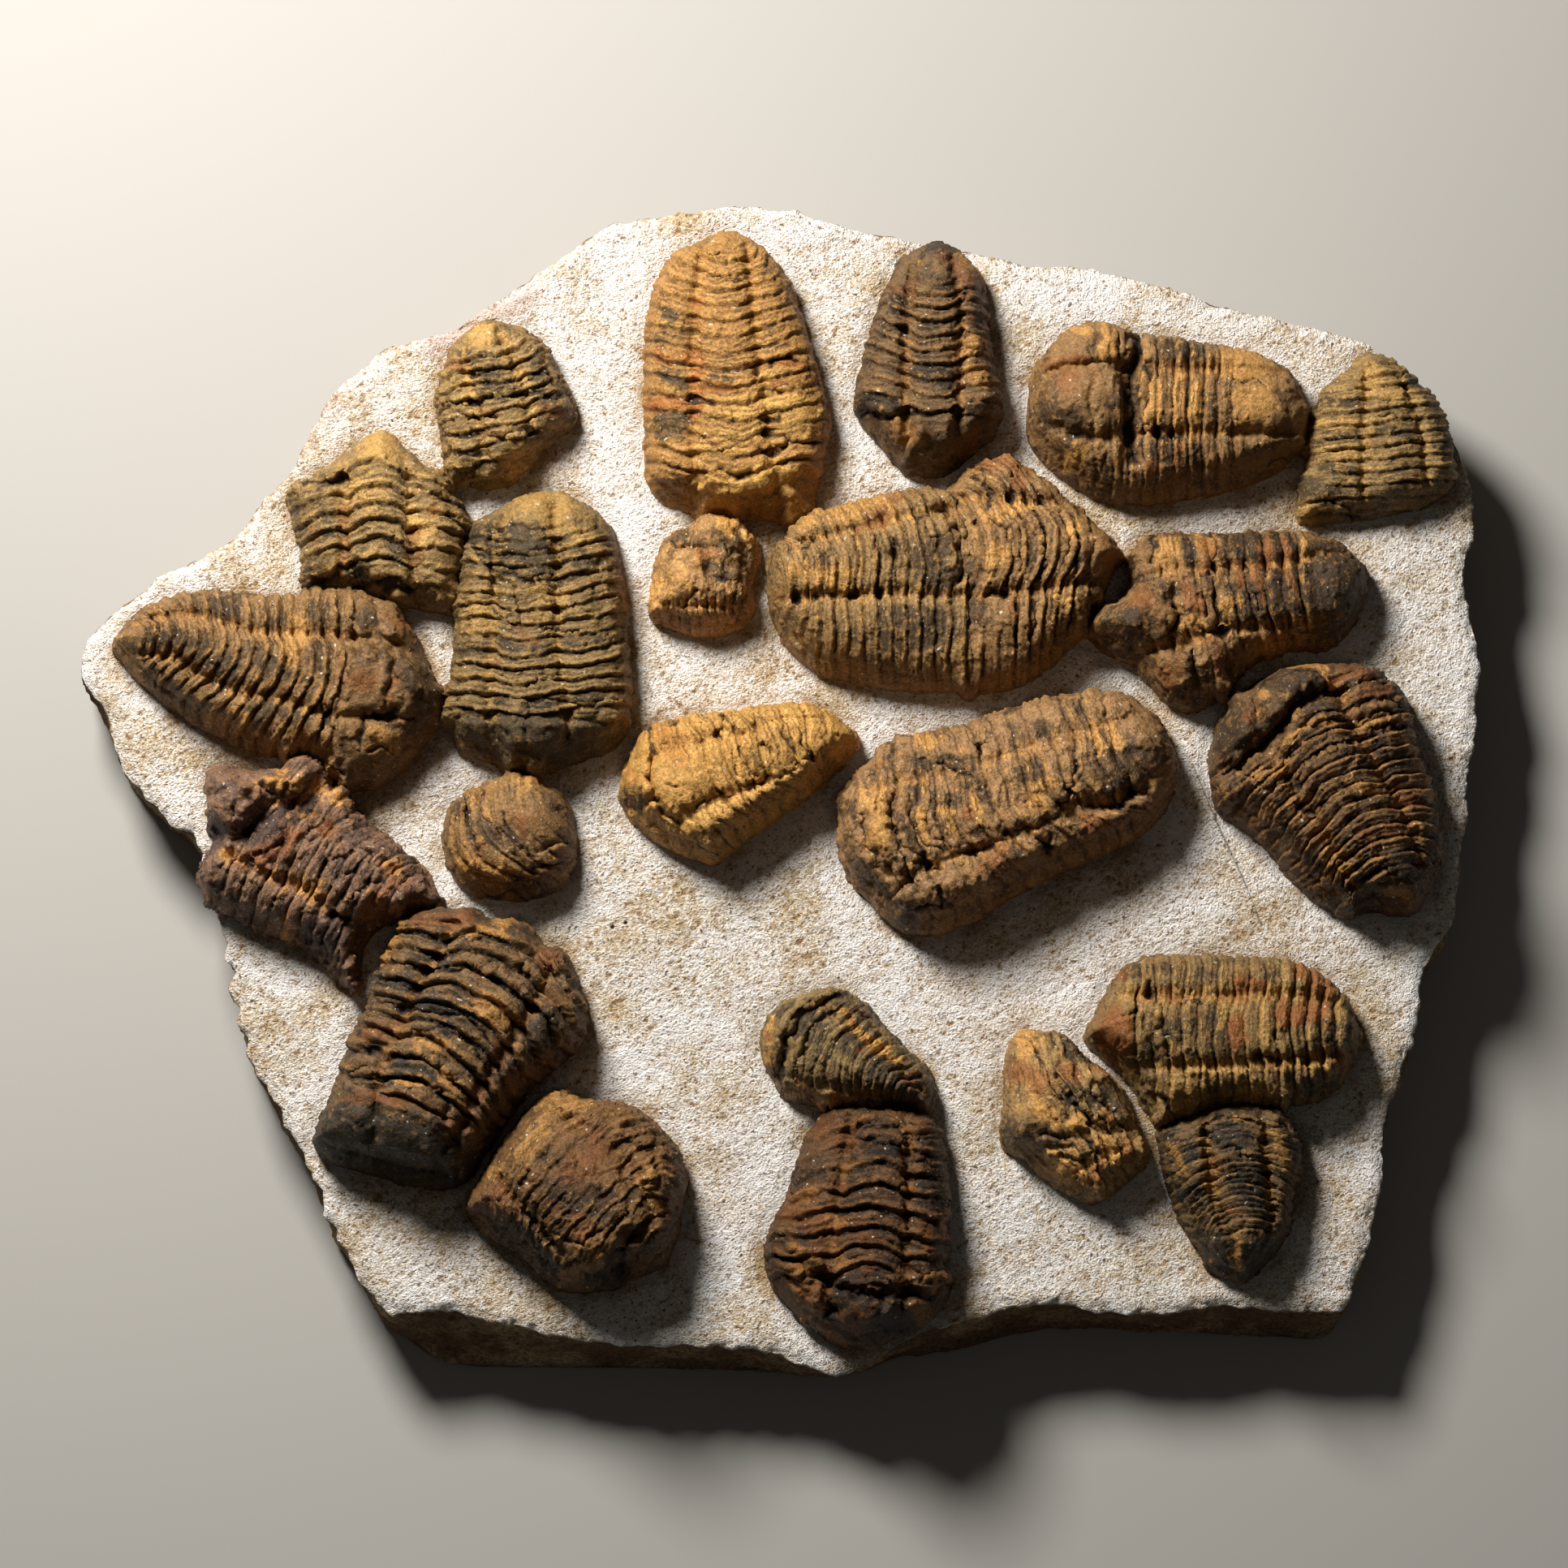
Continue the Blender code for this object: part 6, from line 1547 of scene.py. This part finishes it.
# The two at the bottom
# Two shells that meet near the plate's lower edge and have grown together there. Their filling of
# lime mud is cracked across, with ochre earth in its furrows.
trilobite(
    "trilobite_20_bottom_upper", "dark_fossil",
    {**DARK, "shell": "705B38", "patina": "3B3020", "ochre": "A57B3C", "tone": 1.42, "ochre_share": 0.24},
    spine=(175.5, 55, 166, 60, 157, 64, 149, 67.5, 141, 70),
    furrows=((169, 53.6, 160, 57, 150, 58.6, 146, 60),
             (173, 57, 167.5, 63.6, 161, 69, 156, 74, 150, 76)),
    rings={"Ring Spacing": 2.5, "Ring Relief": 1.2, "Laminae": 0.3, "Furrow Depth": 0.7}, bow=2.4,
    sweep=(3.6, 1.6), tail_to=5, crowding=0.1,
    pit=[((155.4, 74), 0.8), ((170, 54.4), 0.5, 1.3), ((172.6, 60.4), 0.4), ((173.6, 57.4), 0.4, 0.7)],
    crack=[((143.7, 60, 145.1, 64, 146.1, 69, 149.1, 73.3, 154, 75.9, 157.6, 76.8), 0.7, 0.6),
        ((147.7, 61, 148.5, 66, 151, 70.8), 0.35, 0.6), ((157, 75, 160, 74, 163, 72),)],
    groove=[((143.6, 59.6, 145, 64, 146, 69, 149, 73.4, 154, 76, 158, 77), 0.9, 2.2),
        ((147.6, 60, 148.4, 66, 151, 71, 156, 74), 0.6, 1)],
    ridge=[((142.4, 62, 143.4, 68, 146, 74, 152, 77.4), 1.3),
        ((157.4, 74, 161, 69.6, 166, 65.4, 171, 60), 0.7, 0.5)],
    rubble=[((152, 58, 160, 57), 2.2, 0.3)],
    worn=[((143, 67), 3.4)],
    dark=[((148, 70, 153, 74), 1.6), ((158, 67),), ((164, 62, 170, 59), 2.6, 0.35), ((173, 55), 2.4)],
    ochre=[((141.8, 64, 142.6, 72), 1.2, 0.3), ((158.6, 71, 163, 67, 169, 63), 1, 0.22),
        ((152, 56, 164, 54.6), 1.6, 0.25), ((147, 57.6), 2, 0.25)],
    rust=[((142, 68.6), 1.2), ((160, 66), 1), ((143, 62), 1.5, 0.35)],
)
trilobite(
    "trilobite_21_bottom_long", "dark_fossil",
    {**DARK, "shell": "6C4A25", "patina": "2A1E12", "ochre": "9C6A32", "rust": "7A4A20", "tone": 0.7,
     "rust_share": 0.7},
    spine=(165, 53, 164, 35, 162, 6),
    furrows=((159, 52.5, 156.3, 36.8, 154, 22, 154, 12),
             (169.8, 52, 170, 36.8, 169.6, 19.5, 169, 10)),
    rings={"Ring Spacing": 4, "Ring Relief": 1.9, "Gap Depth": 1, "Laminae": 0.45, "Furrow Depth": 1,
           "Raggedness": 5},
    bow=-2.6, sweep=(-1.6, -0.2), shift=0.6, neck=35.5, tail_to=0, crowding=-0.1,
    pit=[((154.6, 13, 155.6, 13.2), 1.4, 2.4)],
    crack=[((160, 47.8, 165, 47.2, 169, 46), 0.4, 1.1), ((160, 50.8, 164, 50.2, 169, 50.4), 0.4, 1.1),
        ((170.6, 51, 176, 50),), ((170.6, 47.6, 177, 47.4),), ((170.6, 42.6, 177, 42.2), 0.45, 1.2),
        ((170.6, 39.4, 177, 39),), ((162, 38.4, 169, 38), 0.5, 1.2),
        ((156, 33, 159, 34.2, 164, 33, 169, 30), 0.4, 1.1),
        ((153.6, 19.4, 158, 16.8, 162, 15.6, 168, 16.2, 174, 15.4), 0.8, 0.8),
        ((143.6, 24.6, 148, 22.4, 152, 20.8, 155, 20.4), 0.6, 1.6)],
    groove=[((170, 48, 170, 30), 0.6, 1.1),
        ((153, 20, 157, 17.4, 162, 15.8, 168, 16.6, 174, 15.8, 178.4, 18.6), 1.2, 2.4),
        ((171, 20.4, 174.6, 20, 178, 22), 0.7, 1.3), ((165, 17, 164.4, 11), 1.6, 1.6),
        ((146, 20, 151, 16), 0.7, 0.9)],
    lump=[((172.6, 12.6), 3.4, 1.2), ((176.8, 31), 1), ((177.2, 28.8), 0.8, 0.8)],
    ridge=[((155, 20.4, 158, 18.4, 163, 17.4, 168, 18.6, 171, 18, 175, 17.8, 178.4, 20.6), 0.6, 1.1),
        ((144, 28, 148, 25.6, 152, 22.6, 155, 21.8), 0.7, 1),
        ((151.4, 12.4, 151.6, 16.4, 154, 19), 0.7, 1.2)],
    rubble=[((154, 8.6), 2.6, 0.6)],
    worn=[((152, 45, 150, 38), 3.5, 0.6), ((160, 12), 5, 0.8)],
    dark=[((160, 15, 168, 12), 4, 0.3), ((162, 47, 167, 44), 2), ((174, 46, 174, 38), 2, 0.3),
        ((150, 29), 2.5, 0.3), ((155, 13), 2, 0.5)],
    ochre=[((148, 22, 151, 14), 3, 0.3), ((153, 9.4, 157, 7), 1, 0.7), ((175, 17.6, 178, 20), 0.6, 0.7),
        ((147, 26.6, 152, 23), 0.7, 0.6), ((177, 30.6, 177.4, 28.8), 1, 0.8), ((149.6, 36.6, 147, 34.6),),
        ((156.4, 23, 158, 22), 0.8, 0.6), ((172.6, 13), 2.4, 0.35), ((151, 32.6, 156, 31), 1.4, 0.4)],
    rust=[((152, 51, 157, 47), 3, 0.35), ((148, 33, 152, 29), 2.6, 0.45), ((161.6, 21.6), 1.2, 0.7),
        ((150, 18), 2.4, 0.45), ((159, 11), 2.2, 0.35), ((173, 30, 174, 26), 1.6, 0.4),
        ((160, 28, 164, 27), 1.6, 0.35)],
)

# The three at the lower right
# A twisted animal, a whole one with its head to the left, and a tail with its last rings. They lie
# close together, and the steel point has left narrow gaps between them.
trilobite(
    "trilobite_22_curled_lower_right", "brown_fossil",
    {**BROWN, "shell": "8F7145", "patina": "453A2C", "tone": 1.2, "rust_share": 0.6},
    spine=(187, 47, 203, 57, 219, 65),
    furrows=((198, 38, 214, 46),
             (188, 62, 204, 73)),
    rings={"Ring Spacing": 2.9, "Ring Relief": 1.1, "Gap Depth": 0.2, "Laminae": 0.4, "Raggedness": 6.5,
           "Furrow Depth": 0.1},
    bow=-1.6, sweep=(1.2, 1.2), tail_to=3, crowding=0,
    crack=[((197, 48.6, 201.4, 48, 203, 48.6), 0.45, 0.8), ((206.4, 47.4, 208.6, 44.4), 0.45),
        ((201, 43.8, 204, 43, 205.4, 43.6),), ((200, 60, 203, 55.4, 208, 50.6), 0.5, 1.2),
        ((196, 66, 198.4, 60, 201, 55), 0.35), ((204.4, 62, 207.4, 57, 211, 52.6),),
        ((198.6, 69, 201, 65.6),), ((203, 69, 205, 65), 0.35)],
    groove=[((196, 49, 201, 48, 206, 48.6, 213, 49.6, 218, 50.4), 1.2, 0.7),
        ((204, 43, 208, 41.6, 211, 40.6), 0.8, 1), ((196, 45.4, 200, 45.8, 204, 45.8), 0.7, 1)],
    lump=[((194, 50), 4), ((198, 58.6), 1.4), ((203.6, 51), 1.6)],
    ridge=[((199.4, 64, 202, 58, 206, 53), 0.8, 1), ((202, 58.6, 205.6, 54, 209, 52.6), 0.7),
        ((207.6, 48, 211, 43), 0.6), ((210, 48, 213, 43.6), 0.6, 0.8)],
    rubble=[((215, 44), 3, 0.4), ((200, 41), 3, 0.3)],
    worn=[((194, 50), 4.5), ((192.6, 65), 3, 0.9)],
    dark=[((201, 53, 203, 56), 1.3, 0.3), ((209, 57, 213, 54), 2.2, 0.3), ((191, 49), 2.2, 0.3),
        ((200, 48), 2), ((207.6, 46), 0.9, 0.7), ((203, 67, 207, 63), 1.6, 0.3)],
    ochre=[((194.4, 69, 194, 66), 1.4, 0.6), ((203.8, 51.2), 1.3, 0.7), ((197, 54, 200, 51), 1.2),
        ((209, 47, 212, 44), 1.4, 0.4), ((205, 40, 200, 43), 2.4, 0.3)],
    rust=[((193, 62, 196, 59), 2.6, 0.4), ((203.6, 61), 1.8, 0.5), ((209.6, 52), 1.6, 0.5),
        ((208, 40.4), 1.6, 0.5), ((210, 62), 1.8, 0.35), ((215, 44.6), 1.6, 0.35)],
)
trilobite(
    "trilobite_23_long_lower_right", "brown_fossil",
    {**OLIVE, "rust": "965828", "tone": 0.9, "rust_share": 0.75},
    spine=(263.5, 69, 240, 69.5, 205.5, 70),
    furrows=((260.5, 65.5, 252, 64, 238, 62.8, 221, 62.2, 214, 62),
             (258, 75.6, 246, 77, 228, 76.6, 216, 77)),
    rings={"Ring Spacing": 3.3, "Ring Relief": 1.5, "Gap Depth": 0.9, "Laminae": 0.3, "Raggedness": 3,
           "Furrow Depth": 1.1},
    bow=0.9, sweep=(0.4, 0.4), tail_to=3, crowding=0.1,
    pit=[((220.8, 69.4), 0.6), ((244.8, 69.6, 244.9, 68.6), 0.6, 1.6), ((239.6, 80.4), 0.6, 1.1)],
    crack=[((240, 64.4, 246, 63.8, 251, 64.6), 0.4, 0.8), ((219.2, 79.6, 218.4, 76.4), 0.5, 1.2),
        ((221.4, 75, 221.6, 70, 223.6, 64.6), 0.45, 1.2), ((226.6, 75.4, 227.4, 77.8), 0.35),
        ((228, 75.6, 230.6, 75), 0.35), ((213.6, 72.6, 216.6, 73.6),), ((221.6, 56.4, 223.6, 52.4),)],
    groove=[((240, 64, 248, 63.8, 254, 65), 1, 1.4), ((217.6, 76, 218, 70, 221, 63.4), 1, 1.5),
        ((231, 58, 231, 62), 0.6, 0.6)],
    lump=[((212, 70), 4.6, 0.9)],
    ridge=[((222, 61.4, 232, 61, 246, 62.2, 256, 63.4), 0.8, 0.6)],
    rubble=[((220, 64),), ((226, 57, 220, 55), 3.2), ((213, 77), 3, 0.4)],
    worn=[((210, 70),)],
    dark=[((232.6, 73, 233, 69.6), 1.1, 0.6), ((228.6, 71), 1.3), ((224, 72, 223, 68), 1.4, 0.35),
        ((216, 82), 1.6), ((219.6, 66),), ((242, 60.6), 1.1, 0.6), ((246.6, 60.4), 1.2, 0.6),
        ((252, 58.6, 256, 58), 1.8, 0.45), ((255, 70, 260, 70), 2), ((222.4, 82), 1.2),
        ((243.6, 81), 1.2, 0.35)],
    ochre=[((222, 76.6, 236, 77, 247, 77), 0.9, 0.6), ((228, 61, 246, 62.4, 254, 63.6), 0.8, 0.7),
        ((237.4, 75, 238, 67), 0.6), ((241.4, 76, 242.4, 67), 0.6), ((234.8, 75, 233.6, 71), 0.6),
        ((216, 76.6), 2, 0.4), ((226, 56), 4, 0.35), ((240, 57), 3, 0.3)],
    rust=[((212, 70), 3.4, 0.55), ((236.4, 71, 237, 68), 1.6, 0.5), ((246, 73.4, 254, 73), 1.7, 0.55),
        ((258.6, 63.6), 1.8, 0.6), ((213.4, 80.8), 1.4, 0.5), ((250, 81.6, 256, 79.6), 1.8, 0.4),
        ((237, 79, 242, 79), 1.2, 0.4)],
)
trilobite(
    "trilobite_24_tail_lower_right", "dark_fossil",
    {**DARK, "shell": "614B2D", "patina": "2E271E", "ochre": "96703A", "tone": 1.1},
    spine=(239, 19.5, 238, 35, 236.5, 54),
    furrows=((236.4, 23, 233.6, 31, 231.8, 38, 230.4, 50),
             (240.8, 23.3, 244.2, 32, 243.4, 38, 242.4, 51)),
    rings={"Ring Spacing": 2.4, "Ring Relief": 1.3, "Gap Depth": 0.8, "Laminae": 0.35, "Raggedness": 2.4,
           "Furrow Width": 1.1},
    bow=1.6, sweep=(3.2, 2.6), shift=-0.4, tail_to=8, crowding=0.1,
    crack=[((230.6, 50.6, 234, 52.2, 238, 52.2, 241.4, 50.4), 0.35, 1.1),
        ((232.4, 50.6, 236, 51, 239, 50.6), 0.3), ((230, 49, 231.6, 47.4), 0.5, 1.2),
        ((231.4, 45.6, 236, 45.6, 239.6, 44.2), 0.35), ((242.6, 41, 244.6, 38.4),),
        ((243, 50, 246.6, 50.4, 249.4, 48), 0.35)],
    groove=[((230.4, 49.6, 231.4, 44, 232, 38), 0.7, 0.7), ((242.6, 50.6, 242.4, 44, 243.6, 37), 0.7, 0.8)],
    lump=[((231.4, 27.6), 2.4, 0.5)],
    ridge=[((229, 50.8, 232.6, 52.8, 236, 53.4, 240, 52.2, 242, 49.8), 0.7, 1.1)],
    worn=[((232, 26), 3.5, 0.8), ((244, 27), 3.5, 0.8)],
    dark=[((232, 48, 238, 47), 1.8), ((230, 38.6, 227, 37), 1.6), ((238, 40, 240, 36), 2.2, 0.35),
        ((232, 24, 243, 24), 3, 0.35), ((228, 45), 1.4, 0.3)],
    ochre=[((236.8, 29, 237, 22), 1, 0.6), ((232.4, 41, 231.8, 38.6), 1), ((245, 49, 247, 42), 1.4, 0.35),
        ((224, 46, 226, 41), 1, 0.4), ((237, 52, 239, 51.4), 0.6)],
    rust=[((235, 34, 238, 32), 1.4, 0.2), ((233, 43), 1.2, 0.25)],
)

# Floor, light and camera
# A plain pale floor, one soft lamp beyond the plate's top edge, and a camera that looks down on it.
FLOOR_REACH = 3
LAMP_WIDTH = 0.21
LAMP_WATTS = 8.7
LAMP_PLACE = (-0.25, 0.40, 0.48)
ROOM_LIGHT = 0.06
VIEW_WIDTH = 0.322
VIEW_DISTANCE = 1.4
VIEW_TILT = math.radians(5)
FILM_WIDTH = 36.0
floor_mesh = bpy.data.meshes.new("floor")
floor_corners = [(x * FLOOR_REACH, y * FLOOR_REACH, 0) for x, y in ((-1, -1), (1, -1), (1, 1), (-1, 1))]
floor_mesh.from_pydata(floor_corners, [], [(0, 1, 2, 3)])
floor = bpy.data.objects.new("floor", floor_mesh)
bpy.context.scene.collection.objects.link(floor)
floor_paint = bpy.data.materials.new("matt_floor_paint")
floor_paint.use_nodes = True
paint = floor_paint.node_tree.nodes["Principled BSDF"]
paint.inputs["Base Color"].default_value = colour("A9A7A3")
paint.inputs["Roughness"].default_value = 0.9
floor_mesh.materials.append(floor_paint)

lamp = bpy.data.lights.new("soft_lamp", "AREA")
lamp.shape = "DISK"
lamp.size = LAMP_WIDTH
lamp.energy = LAMP_WATTS
lamp.color = (1.0, 0.96, 0.9)
lamp_holder = bpy.data.objects.new("soft_lamp", lamp)
lamp_holder.location = LAMP_PLACE
aim = -lamp_holder.location
lamp_holder.rotation_euler = aim.to_track_quat("-Z", "Y").to_euler()
bpy.context.scene.collection.objects.link(lamp_holder)

world = bpy.data.worlds.new("room")
world.use_nodes = True
world.node_tree.nodes["Background"].inputs["Color"].default_value = colour("E6DFD4")
world.node_tree.nodes["Background"].inputs["Strength"].default_value = ROOM_LIGHT
bpy.context.scene.world = world
bpy.context.scene.view_settings.view_transform = "Standard"

camera = bpy.data.cameras.new("camera")
camera.sensor_width = FILM_WIDTH
camera.lens = FILM_WIDTH * VIEW_DISTANCE / VIEW_WIDTH
camera_holder = bpy.data.objects.new("camera", camera)
aim_at = (np.array([145.0, 121.0, FACE]) + RULER_ZERO) * MM
camera_holder.location = (
    aim_at[0], aim_at[1] - VIEW_DISTANCE * math.sin(VIEW_TILT),
    aim_at[2] + VIEW_DISTANCE * math.cos(VIEW_TILT),
)
camera_holder.rotation_euler = (VIEW_TILT, 0.0, 0.0)
bpy.context.scene.collection.objects.link(camera_holder)
bpy.context.scene.camera = camera_holder
